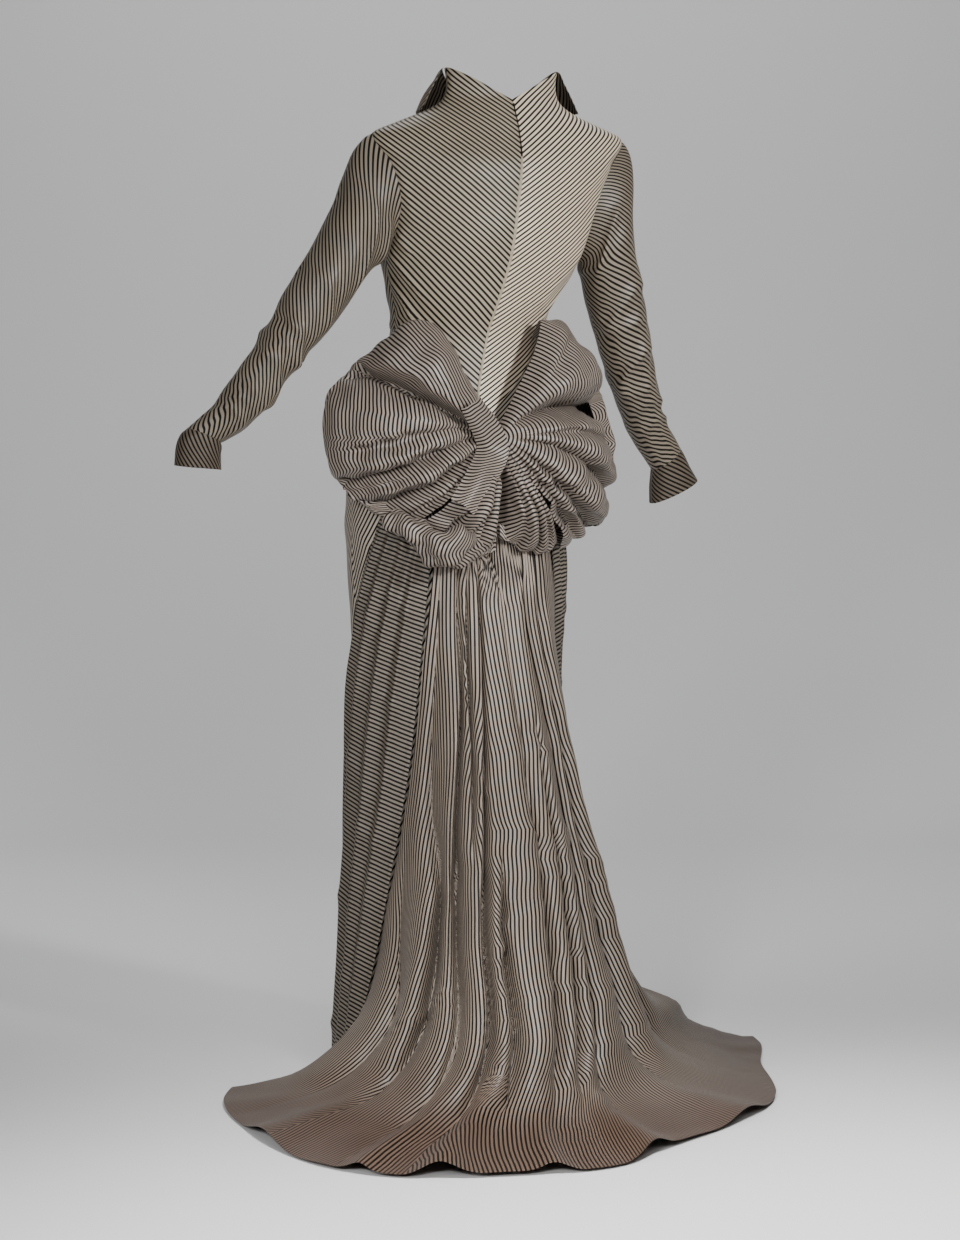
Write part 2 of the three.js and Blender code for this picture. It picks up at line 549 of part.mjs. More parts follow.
// ---------------------------------------------------------------- collar wings
// Height of the shoulder or chest under a point in plan, found by halving the interval.
function shoulderHeight(x, y) {
  let low = UNDERARM;
  let high = BODY[BODY.length - 1].height;
  for (let step = 0; step < 24; step += 1) {
    const middle = (low + high) / 2;
    const section = body(middle);
    const depth = y > section.y ? section.back : section.front;
    const outside = Math.abs((x - section.x) / section.half) ** section.square
      + Math.abs((y - section.y) / depth) ** section.square;
    if (outside > 1) high = middle;
    else low = middle;
  }
  return low;
}

// y of the gown's front at a place across and a height.
function frontDepth(x, height) {
  const section = body(height);
  const share = clamp01(1 - Math.abs((x - section.x) / section.half) ** section.square);
  return section.y - section.front * share ** (1 / section.square);
}

function collarWing(side) {
  const wing = track(WING, 'along');
  const surface = (along, down) => {
    const row = wing(along);
    const share = Math.abs(Math.cos(radians(row.turn))) ** NECK_SCOOP;
    const top = mix(FRONT_NECK, COLLAR_PEAK, share);
    const point = bodyPoint(row.turn, top, WING_CLEAR);
    const away = new Vector3(Math.cos(radians(row.turn)), Math.sin(radians(row.turn)), 0);
    const bulge = Math.sin(Math.PI * down)
      * mix(WING_ROLL.least, WING_ROLL.most, smooth(along / WING[1].along));
    point.addScaledVector(away, row.out * down + bulge);
    const hang = top + WING_ROLL.rise * Math.sin(Math.PI * Math.min(1, down * 4)) - row.drop * down;
    point.z = hang;
    const clear = WING_CLEAR + CLOTH;
    const lift = shoulderHeight(point.x, point.y) + clear - point.z;
    const push = point.y - frontDepth(point.x, point.z) + clear;
    if (lift > 0 && push > 0) {
      if (lift < push) point.z += lift;
      else point.y -= push;
    }
    return side > 0 ? point : new Vector3(-point.x, point.y, point.z);
  };
  return wall(surface, 9, 5, CLOTH, { flip: side < 0 });
}

// ---------------------------------------------------------------- the sheath
// One panel of the sheath: its turns run from first to last, with the middle column at `seam`,
// so that its top points lie under the bodice's own.
function sheath(first, seam, last) {
  const surface = (across, up) => {
    const turn = across < 0.5 ? mix(first, seam, across * 2) : mix(seam, last, across * 2 - 1);
    return bodyPoint(turn, mix(FLOOR_CLEARANCE, waistHeight(turn) - SEAM_GAP, up));
  };
  return wall(surface, 2 * BODICE_COLUMNS, 9, CLOTH);
}

// ---------------------------------------------------------------- side drapes
// Sum of rounded ridges at the places that a table names.
function ridges(folds, across, down = 0.5) {
  return folds.reduce((sum, fold) => {
    const shown = fold.start === undefined ? 1
      : smooth((down - fold.start + 0.12) / 0.12) * smooth((fold.end - down) / 0.15);
    return sum + shown * fold.height * Math.exp(-(((across - fold.across) / fold.width) ** 2));
  }, 0);
}

function sideDrape(rows, side) {
  const fall = track(rows, 'down');
  const surface = (across, down) => {
    const row = fall(down);
    const swing = mix(row.front, row.back, across);
    const off = row.stand + row.proud * smooth((across - 0.6) / 0.4)
      + row.fold * ridges(DRAPE_FOLDS, across);
    return bodyPoint(side > 0 ? swing : 180 - swing, row.height, off);
  };
  return wall(surface, 16, 9, LIGHT_CLOTH, { flip: side > 0 });
}

// ---------------------------------------------------------------- train
// Where a side edge of the train lies at a height: just behind the back edge of that drape.
function trainEdge(drape, side, height) {
  const row = drape(height);
  const turn = row.back + TRAIN_EDGE.turn;
  const off = Math.max(row.stand + row.proud - 2, TRAIN_TOP.seat);
  return bodyPoint(side > 0 ? turn : 180 - turn, height, off);
}

function train() {
  const fall = track(TRAIN_FALL, 'down');
  const hem = track(TRAIN_HEM, 'across');
  const middle = BODY[0];
  const left = track([...LEFT_DRAPE].reverse(), 'height');
  const right = track([...RIGHT_DRAPE].reverse(), 'height');
  const surface = (across, down) => {
    const row = fall(down);
    const end = hem(across);
    const first = mix(TRAIN_TOP.first, TRAIN_TOP.last, across);
    const turn = mix(first, end.turn, row.spread);
    const stand = mix(TRAIN_TOP.seat, TRAIN_TOP.stand, smooth(down / TRAIN_TOP.below));
    const onBody = bodyPoint(turn, Math.max(row.height, TRAIN_EDGE.low), stand);
    const near = Math.hypot(onBody.x - middle.x, onBody.y - middle.y);
    const fold = row.fold * ridges(TRAIN_FOLDS, across, down);
    const standing = smooth(row.height / 90);
    const out = mix(near, end.reach, row.leave) + fold * standing;
    const lift = fold * 0.55 * (1 - standing);
    const angle = radians(turn);
    const height = row.height + lift + end.slope * Math.sin(Math.PI * row.leave) ** 2;
    const free = new Vector3(middle.x + out * Math.cos(angle), middle.y + out * Math.sin(angle),
      height);
    const side = across < 0.5 ? 1 : -1;
    const fromEdge = Math.min(across, 1 - across) / TRAIN_EDGE.share;
    const bound = (1 - smooth(fromEdge))
      * smooth((row.height - TRAIN_EDGE.low) / (TRAIN_EDGE.high - TRAIN_EDGE.low));
    return free.lerp(trainEdge(side > 0 ? left : right, side, row.height), bound);
  };
  return wall(surface, 72, 14, LIGHT_CLOTH, { flip: true });
}

// ---------------------------------------------------------------- bow
// y of the gown's back at a place across and a height; at its widest point beyond its sides.
function backDepth(x, height) {
  const section = body(height);
  const share = clamp01(1 - Math.abs((x - section.x) / section.half) ** section.square);
  return section.y + section.back * share ** (1 / section.square);
}

function bowHalf(rows, creases, side, columns) {
  const outline = track(rows, 'clock');
  const section = track(BOW_SECTION, 'along');
  const first = rows[0].clock;
  const last = rows[rows.length - 1].clock;
  const surface = (across, along) => {
    const clock = mix(first, last, across);
    const row = outline(clock);
    const profile = section(along);
    const sunk = creases.reduce((sum, crease) => (
      sum + crease.depth * Math.exp(-(((clock - crease.clock) / crease.width) ** 2))), 0);
    const swell = smooth(along / BOW_SWELL.in)
      * (1 - smooth((along - BOW_SWELL.out) / (1 - BOW_SWELL.out)));
    const ledge = BOW_LEDGE.off * smooth((clock - BOW_LEDGE.from) / (BOW_LEDGE.to - BOW_LEDGE.from))
      * smooth((along - BOW_SWELL.in) / (BOW_SWELL.out - BOW_SWELL.in + 0.15));
    const out = row.reach * profile.out - BOW_SWELL.draw * sunk * swell;
    const off = profile.off * row.puff - sunk * swell * Math.min(1, row.puff) + ledge;
    const aside = side * out * Math.sin(radians(clock));
    const rise = out * Math.cos(radians(clock));
    const sag = BOW_SAG.depth * Math.abs(aside / BOW_SAG.at) ** BOW_SAG.bend;
    const x = KNOT.x + side * KNOT.part + aside;
    const height = KNOT.height + rise;
    const y = Math.max(KNOT.y - sag + off, backDepth(x, height) + BOW_SEAT);
    return new Vector3(x, y, height);
  };
  return wall(surface, columns, 9, LIGHT_CLOTH, { flip: side < 0 });
}

// ---------------------------------------------------------------- assembly
const SIDE_GAP = gapTurn(body(WAIST).back);
const gown = new Group();
gown.position.z = -ORIGIN_HEIGHT;
gown.add(
  piece('bodice_back_left', backHalf(1), SILK.body),
  piece('bodice_back_right', backHalf(-1), SILK.body),
  piece('bodice_front', frontPanel(), SILK.body),
  piece('collar_left', collarWing(1), SILK.body),
  piece('collar_right', collarWing(-1), SILK.body),
  piece('sleeve_left', sleeve(LEFT_SLEEVE, 1), SILK.body),
  piece('sleeve_right', sleeve(RIGHT_SLEEVE, -1), SILK.body),
  piece('cuff_left', cuff(LEFT_CUFF, 1), SILK.body),
  piece('cuff_right', cuff(RIGHT_CUFF, -1), SILK.body),
  piece('skirt_front', sheath(-180 + SIDE_GAP, -90, -SIDE_GAP), SILK.drape),
  piece('skirt_back', sheath(SIDE_GAP, 90 - body(BACK_POINT).seam, 180 - SIDE_GAP), SILK.drape),
  piece('drape_left', sideDrape(LEFT_DRAPE, 1), SILK.drape),
  piece('drape_right', sideDrape(RIGHT_DRAPE, -1), SILK.drape),
  piece('train', train(), SILK.train),
  piece('bow_left', bowHalf(LEFT_BOW, LEFT_CREASES, 1, 40), SILK.drape),
  piece('bow_right', bowHalf(RIGHT_BOW, RIGHT_CREASES, -1, 42), SILK.drape),
  piece('bow_loop_left', bowHalf(LEFT_LOOP, LEFT_LOOP_CREASES, 1, 16), SILK.drape),
  piece('bow_loop_right', bowHalf(RIGHT_LOOP, RIGHT_LOOP_CREASES, -1, 12), SILK.drape),
);

export default gown;
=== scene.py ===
"""Evening gown of narrow striped silk taffeta, as it is worn: the look of every piece.

Shapes are worked out in millimetres by their height above the floor, with -Y the wearer's
front, +Y the back and +X the wearer's left, and are set into the row frame, in metres, when a
mesh is made. Each cloth piece is a surface of two parameters on a numpy grid, with its creases
moved out along the surface's normal, closed into a thin shell. Its own UV map gives the cloth's
flat coordinates in metres: u across the stripes and v along them.
"""

from __future__ import annotations

import logging
import math
from dataclasses import dataclass
from enum import Enum

import bpy
import numpy as np
from mathutils import Matrix, Vector

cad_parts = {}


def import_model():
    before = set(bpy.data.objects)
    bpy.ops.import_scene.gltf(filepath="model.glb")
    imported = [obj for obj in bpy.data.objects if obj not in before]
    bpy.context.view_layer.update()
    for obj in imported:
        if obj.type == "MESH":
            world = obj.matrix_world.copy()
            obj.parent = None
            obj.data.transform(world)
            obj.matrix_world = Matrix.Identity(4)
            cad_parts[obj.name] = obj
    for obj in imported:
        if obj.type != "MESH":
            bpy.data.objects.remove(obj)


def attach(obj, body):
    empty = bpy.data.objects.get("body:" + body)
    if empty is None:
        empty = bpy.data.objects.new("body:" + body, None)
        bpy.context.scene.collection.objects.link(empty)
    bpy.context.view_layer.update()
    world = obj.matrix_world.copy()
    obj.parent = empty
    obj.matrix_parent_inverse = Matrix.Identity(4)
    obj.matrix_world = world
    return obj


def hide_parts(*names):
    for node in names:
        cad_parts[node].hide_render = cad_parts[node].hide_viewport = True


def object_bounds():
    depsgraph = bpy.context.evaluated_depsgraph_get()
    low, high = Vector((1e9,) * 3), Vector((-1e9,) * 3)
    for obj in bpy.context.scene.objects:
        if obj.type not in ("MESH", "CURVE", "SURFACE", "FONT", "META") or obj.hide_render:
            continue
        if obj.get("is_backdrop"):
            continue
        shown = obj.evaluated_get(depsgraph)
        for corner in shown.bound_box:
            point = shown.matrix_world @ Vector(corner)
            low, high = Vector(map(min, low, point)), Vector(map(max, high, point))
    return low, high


log = logging.getLogger("gown")
Array = np.ndarray

ORIGIN_HEIGHT = 1450.0      # shoulder level above the floor
WAIST = 1150.0
BACK_POINT = 1008.0         # lower tip of the bodice at the centre back
UNDERARM = 1262.0
SHOULDER_TIP = 1442.0
NECK_SIDE = 1495.0
COLLAR_PEAK = 1543.0
BACK_NOTCH = 1496.0
FRONT_NECK = 1385.0
NECK_SCOOP = 0.65
ARMHOLE_SWING = 23.0
FLOOR_CLEARANCE = 3.0
SEAM_GAP = 0.4
STRIPE = 6.5                # one light and one dark warp stripe together
CLOTH = 0.8                 # thickness of the silk with its interlining, as it is drawn
LIGHT_CLOTH = 0.6           # thickness of the single taffeta, as it is drawn
UV_NAME = "cloth"


class Side(Enum):
    """Which side of the wearer a piece is on; the value turns x outwards."""

    LEFT = 1
    RIGHT = -1

    @property
    def word(self) -> str:
        """The side's name, as the nodes use it."""
        return self.name.lower()


def clamp01(value: Array | float) -> Array:
    """The value kept between 0 and 1."""
    return np.clip(value, 0.0, 1.0)


def smooth(value: Array | float) -> Array:
    """An S-curve from 0 to 1: the clamped value squared, times three less twice the value."""
    return clamp01(value) ** 2 * (3 - 2 * clamp01(value))


def mix(start: Array | float, end: Array | float, share: Array | float) -> Array:
    """The place at that share of the way from start to end."""
    return start + (end - start) * share


def power(value: Array, exponent: Array | float) -> Array:
    """The value's size raised to a power, with its sign kept."""
    return np.sign(value) * np.abs(value) ** exponent


def bell(distance: Array, width: Array | float, sharpness: float = 2.0) -> Array:
    """A ridge's profile: e to the minus of (distance over width) to a power."""
    return np.exp(-np.abs(distance / width) ** sharpness)


def ripple(a: Array, b: Array, length: float, seed: int) -> Array:
    """Soft unevenness between about -1 and 1: six sine waves in fixed chosen directions.

    Args:
        a: Place across, in millimetres.
        b: Place along, in millimetres.
        length: Mean wavelength, in millimetres.
        seed: Number that fixes the directions and phases.

    Returns:
        The sum of the waves, shared out so that it stays near one at most.
    """
    rng = np.random.default_rng(seed)
    total = np.zeros(np.broadcast(a, b).shape)
    for _ in range(6):
        way, phase = rng.uniform(0, 2 * math.pi, 2)
        step = length * rng.uniform(0.6, 1.6)
        total += np.sin((a * math.cos(way) + b * math.sin(way)) * 2 * math.pi / step + phase)
    return total / 3.2


class Table:
    """A short table, read as smooth curves of its first column.

    Between two rows the curve is a cubic whose slope at each row is that of the line from the
    row before to the row after.
    """

    def __init__(self, names: str, rows: list[tuple[float, ...]]) -> None:
        """Keeps the columns' names and values, sorted by the key column."""
        self.names = names.split()
        self.rows = np.array(sorted(rows), float)
        n = len(self.rows)
        before = np.maximum(np.arange(n) - 1, 0)
        after = np.minimum(np.arange(n) + 1, n - 1)
        keys = self.rows[:, 0]
        self.slopes = (self.rows[after] - self.rows[before]) / (keys[after] - keys[before])[:, None]

    def at(self, value: Array | float) -> dict[str, Array]:
        """Reads every column.

        Args:
            value: Places in the key column.

        Returns:
            Each other column's values there, by its name.
        """
        keys = self.rows[:, 0]
        value = np.clip(np.asarray(value, float), keys[0], keys[-1])
        k = np.clip(np.searchsorted(keys, value, side="right") - 1, 0, len(keys) - 2)
        span = keys[k + 1] - keys[k]
        t = (value - keys[k]) / span
        out = {}
        for column, name in enumerate(self.names[1:], start=1):
            out[name] = (
                (2 * t**3 - 3 * t**2 + 1) * self.rows[k, column]
                + (t**3 - 2 * t**2 + t) * span * self.slopes[k, column]
                + (3 * t**2 - 2 * t**3) * self.rows[k + 1, column]
                + (t**3 - t**2) * span * self.slopes[k + 1, column]
            )
        return out


def grid(columns: int, rows: int) -> tuple[Array, Array]:
    """Even shares across and along a piece, as two arrays of (rows + 1, columns + 1)."""
    return np.meshgrid(np.linspace(0, 1, columns + 1), np.linspace(0, 1, rows + 1))


def stack(x: Array, y: Array, z: Array) -> Array:
    """Three arrays of coordinates as one array of points."""
    return np.stack(np.broadcast_arrays(x, y, z), axis=-1)


def arc_across(points: Array) -> Array:
    """Length of the surface from its first column, row by row."""
    steps = np.linalg.norm(np.diff(points, axis=1), axis=2)
    return np.concatenate([np.zeros((len(points), 1)), np.cumsum(steps, axis=1)], axis=1)


def arc_along(points: Array) -> Array:
    """Length of the surface from its first row, column by column."""
    return arc_across(points.swapaxes(0, 1)).T


def squares(left: Array, right: Array) -> Array:
    """Values at each grid square's four corners, from those at the two ends of its rows."""
    return np.stack([left[:-1], right[:-1], right[1:], left[1:]], axis=-1)


def surface_normals(points: Array, flip: bool) -> Array:
    """Unit normals of a grid: the way across times the way along, or its opposite if flipped."""
    across = np.gradient(points, axis=1)
    along = np.gradient(points, axis=0)
    normal = np.cross(across, along)
    normal /= np.maximum(np.linalg.norm(normal, axis=2, keepdims=True), 1e-9)
    return -normal if flip else normal


def creases(points: Array, rows: list[tuple[float, ...]], sharpness: float = 1.5) -> Array:
    """Height of listed creases on a grid.

    Each crease is a curved stroke between two places. Its height is its own size, times a bell
    of the distance from the stroke over its width, and it fades out at both ends.

    Args:
        points: The surface's grid, whose own lengths the widths are measured in.
        rows: For each crease, across and along of its start and of its end as shares, its
            width and height in millimetres, and its bend in millimetres.
        sharpness: 2 is a round ridge, and less is a crisper one.

    Returns:
        The height to move each point along its normal.
    """
    a = arc_across(points)
    a = a - a[:, a.shape[1] // 2][:, None]
    b = arc_along(points)
    high, wide = a.shape
    total = np.zeros_like(a)
    for u0, v0, u1, v1, width, height, bend in rows:
        ends = []
        for u, v in ((u0, v0), (u1, v1)):
            i = min(int(round(clamp01(u) * (wide - 1))), wide - 1)
            j = min(int(round(clamp01(v) * (high - 1))), high - 1)
            ends.append(np.array([a[j, i], b[j, i]]))
        way = ends[1] - ends[0]
        length = max(float(np.hypot(*way)), 1e-6)
        along = ((a - ends[0][0]) * way[0] + (b - ends[0][1]) * way[1]) / length**2
        aside = ((a - ends[0][0]) * way[1] - (b - ends[0][1]) * way[0]) / length
        aside = aside - bend * np.sin(math.pi * clamp01(along))
        fade = smooth((along + 0.12) / 0.32) * smooth((1.12 - along) / 0.32)
        total += height * fade * bell(aside, width, sharpness)
    return total


def linear(hex_colour: str) -> tuple[float, float, float, float]:
    """A screen colour such as "a0b1c2" as linear red, green, blue and alpha."""
    parts = [int(hex_colour[i : i + 2], 16) / 255 for i in (0, 2, 4)]
    lit = [p / 12.92 if p <= 0.04045 else ((p + 0.055) / 1.055) ** 2.4 for p in parts]
    return (*lit, 1.0)


# ---------------------------------------------------------------- finishes
@dataclass(frozen=True)
class SilkTaffeta:
    """Warp-striped silk taffeta, woven plain with a shot weft.

    Its light stripes are a taupe and its dark ones a brown near to black. The weft of another
    colour gives a faint sheen that changes as the cloth turns, and crisp small crumples.
    """

    name: str
    light: str
    dark: str
    dark_share: float = 0.45
    roughness: float = 0.36
    sheen: float = 0.04
    gloss: float = 0.42
    crumple_mm: float = 1.1
    hem_from: float = 9.0           # metres down the cloth where a painted shade, darker and browner, starts
    hem_shade: str = "ffffff"


@dataclass(frozen=True)
class StudioPaint:
    """Matt emulsion on a floor or a wall: one soft colour with no gloss."""

    name: str
    colour: str
    roughness: float = 0.85


# The gown is one silk. Its pieces take eight finishes of it whose tones were set piece by piece to
# the light and shade that falls on them, so part of each piece's light and shade is painted into
# its colour: the right back half is painted lighter as a painted sheen, the skirt a little lighter,
# and the bow, train, sleeves, drapes and cuffs darker in that order as painted shade.
BODY_SILK = SilkTaffeta("silk_taffeta_body", "938875", "110e0b", roughness=0.47)
BACK_SILK_PAINTED_SHEEN = SilkTaffeta("silk_taffeta_back_painted_sheen", "cebfa8", "110e0b", roughness=0.45)
SLEEVE_SILK_PAINTED_SHADE = SilkTaffeta("silk_taffeta_sleeve_painted_shade", "776d5f", "0e0c0a", roughness=0.47)
CUFF_SILK_PAINTED_SHADE = SilkTaffeta("silk_taffeta_cuff_painted_shade", "594f43", "0d0b0a", roughness=0.5)
BOW_SILK = SilkTaffeta("silk_taffeta_bow", "857a70", "0d0b0a", roughness=0.46, crumple_mm=2.0)
SKIRT_SILK = SilkTaffeta("silk_taffeta_skirt", "9a9083", "0f0d0b", roughness=0.47)
DRAPE_SILK_PAINTED_SHADE = SilkTaffeta("silk_taffeta_drape_painted_shade", "655d53", "0d0b0a", roughness=0.47)
# The train's finish is painted darker as painted shade, and from hem_from down the cloth darker and
# browner still where the train lies on the floor.
TRAIN_SILK_PAINTED_SHADE = SilkTaffeta(
    "silk_taffeta_train_painted_shade", "82766a", "0d0a08", roughness=0.46, hem_from=0.86,
    hem_shade="bca79b",
)


def add_node(
    tree: bpy.types.NodeTree, kind: str, settings: dict | None = None, links: dict | None = None
) -> bpy.types.Node:
    """Adds one node with its settings and what feeds its inputs.

    Args:
        tree: The material's node tree.
        kind: The node's type name after ShaderNode.
        settings: The node's own properties by name.
        links: For each input by name or number, a value or another node's output.

    Returns:
        The new node.
    """
    node = tree.nodes.new("ShaderNode" + kind)
    for key, value in (settings or {}).items():
        setattr(node, key, value)
    for key, value in (links or {}).items():
        if isinstance(value, bpy.types.NodeSocket):
            tree.links.new(value, node.inputs[key])
        else:
            node.inputs[key].default_value = value
    return node


def new_material(name: str) -> tuple[bpy.types.Material, bpy.types.NodeTree]:
    """An empty node material with that name, and its tree."""
    material = bpy.data.materials.new(name)
    material.use_nodes = True
    material.node_tree.nodes.clear()
    return material, material.node_tree


def taffeta_material(finish: SilkTaffeta) -> bpy.types.Material:
    """Makes the silk of one finish.

    The stripe is a distance: the cloth's u over the stripe's real width, its fraction less a
    half, without its sign, is under half the dark share in a dark stripe. The yarns of each
    stripe differ a little, so noise drawn out along them varies the colour. The weft ribs are
    0.35 mm apart, too fine to show, so they are drawn 1.4 mm apart in the bump.

    Args:
        finish: The silk's colours and finish.

    Returns:
        The material.
    """
    material, tree = new_material(finish.name)
    cloth = add_node(tree, "UVMap", {"uv_map": UV_NAME}).outputs["UV"]
    place = add_node(tree, "TexCoord").outputs["Object"]
    axes = add_node(tree, "SeparateXYZ", None, {0: cloth})
    stripe = add_node(
        tree, "Math", {"operation": "MULTIPLY"}, {0: axes.outputs["X"], 1: 1000 / STRIPE}
    )
    fraction = add_node(tree, "Math", {"operation": "FRACT"}, {0: stripe.outputs[0]})
    middle = add_node(
        tree, "Math", {"operation": "SUBTRACT"}, {0: fraction.outputs[0], 1: 0.5}
    )
    aside = add_node(tree, "Math", {"operation": "ABSOLUTE"}, {0: middle.outputs[0]})
    half = finish.dark_share / 2
    mask = add_node(
        tree, "MapRange", {"interpolation_type": "SMOOTHSTEP"},
        {0: aside.outputs[0], 1: half - 0.06, 2: half + 0.06, 3: 0.0, 4: 1.0},
    )
    colour = add_node(
        tree, "Mix", {"data_type": "RGBA"},
        {0: mask.outputs[0], 6: linear(finish.dark), 7: linear(finish.light)},
    )
    drawn_out = add_node(tree, "Mapping", None, {0: cloth, 3: (900.0, 14.0, 1.0)})
    yarns = add_node(
        tree, "TexNoise", None, {"Vector": drawn_out.outputs[0], "Scale": 1.0, "Detail": 2.0}
    )
    clouds = add_node(tree, "TexNoise", None, {"Vector": place, "Scale": 9.0, "Detail": 3.0})
    patches = add_node(
        tree, "Math", {"operation": "MULTIPLY_ADD"},
        {0: clouds.outputs[0], 1: 0.35, 2: 0.66},
    )
    shade = add_node(
        tree, "Math", {"operation": "MULTIPLY_ADD"},
        {0: yarns.outputs[0], 1: 0.35, 2: patches.outputs[0]},
    )
    tinted = add_node(
        tree, "VectorMath", {"operation": "SCALE"},
        {0: colour.outputs[2], "Scale": shade.outputs[0]},
    )
    # Painted shade: from hem_from metres down the cloth the colour is multiplied by the hem shade,
    # darker and browner where the train lies on the floor.
    lying = add_node(
        tree, "MapRange", {"interpolation_type": "SMOOTHSTEP"},
        {0: axes.outputs["Y"], 1: finish.hem_from, 2: finish.hem_from + 0.3, 3: 0.0, 4: 1.0},
    )
    cast = add_node(
        tree, "Mix", {"data_type": "RGBA", "blend_type": "MULTIPLY"},
        {0: lying.outputs[0], 6: tinted.outputs[0], 7: linear(finish.hem_shade)},
    )
    gloss = add_node(
        tree, "MapRange", None, {0: mask.outputs[0], 3: 0.1, 4: finish.gloss}
    )
    ribs = add_node(
        tree, "TexWave", {"bands_direction": "Y"},
        {"Vector": cloth, "Scale": 1000 / 1.4 / 20 * math.pi, "Distortion": 0.4},
    )
    fine = add_node(
        tree, "Bump", None, {"Strength": 0.12, "Distance": 0.0002, "Height": ribs.outputs[1]}
    )
    crumple = add_node(
        tree, "TexNoise", {"noise_type": "RIDGED_MULTIFRACTAL"},
        {"Vector": place, "Scale": 13.0, "Detail": 4.0},
    )
    bump = add_node(
        tree, "Bump", None,
        {
            "Strength": 0.55, "Distance": finish.crumple_mm / 1000,
            "Height": crumple.outputs[0], "Normal": fine.outputs[0],
        },
    )
    silk = add_node(
        tree, "BsdfPrincipled", None,
        {
            "Base Color": cast.outputs[2], "Roughness": finish.roughness, "IOR": 1.5,
            "Specular IOR Level": gloss.outputs[0], "Sheen Weight": finish.sheen,
            "Sheen Roughness": 0.35, "Normal": bump.outputs[0],
        },
    )
    add_node(tree, "OutputMaterial", None, {0: silk.outputs[0]})
    return material


def paint_material(finish: StudioPaint) -> bpy.types.Material:
    """Matt studio paint, a little uneven in tone as rolled paint is."""
    material, tree = new_material(finish.name)
    place = add_node(tree, "TexCoord").outputs["Object"]
    rolled = add_node(tree, "TexNoise", None, {"Vector": place, "Scale": 1.5, "Detail": 2.0})
    r, g, b, _ = linear(finish.colour)
    low, high = (r * 0.98, g * 0.98, b * 0.98, 1.0), (r, g, b, 1.0)
    tone = add_node(tree, "Mix", {"data_type": "RGBA"}, {0: rolled.outputs[0], 6: low, 7: high})
    paint = add_node(
        tree, "BsdfPrincipled", None,
        {"Base Color": tone.outputs[2], "Roughness": finish.roughness, "Specular IOR Level": 0.2},
    )
    add_node(tree, "OutputMaterial", None, {0: paint.outputs[0]})
    return material


# ---------------------------------------------------------------- meshes
# The cut of each piece: width and length of the cloth it takes and the cut's own flat area,
# in metres and square metres, with a seam allowance of about a centimetre.
CUTS = {
    "bodice_front": (0.58, 0.55, 0.155), "bodice_back_left": (0.26, 0.54, 0.092),
    "bodice_back_right": (0.27, 0.55, 0.094), "collar_left": (0.23, 0.10, 0.0118),
    "collar_right": (0.23, 0.10, 0.0118), "sleeve_left": (0.46, 0.56, 0.137),
    "sleeve_right": (0.48, 0.55, 0.133), "cuff_left": (0.24, 0.075, 0.0118),
    "cuff_right": (0.26, 0.082, 0.0145), "skirt_front": (0.53, 1.18, 0.53),
    "skirt_back": (0.55, 1.18, 0.49), "drape_left": (0.22, 0.95, 0.168),
    "drape_right": (0.175, 0.95, 0.128), "train": (2.06, 1.38, 1.10),
    "bow_left": (0.62, 0.375, 0.125), "bow_right": (0.715, 0.415, 0.152),
    "bow_loop_left": (0.23, 0.285, 0.036), "bow_loop_right": (0.19, 0.29, 0.029),
    "bow_band": (0.065, 0.25, 0.011), "bow_roll": (0.22, 0.26, 0.036),
}


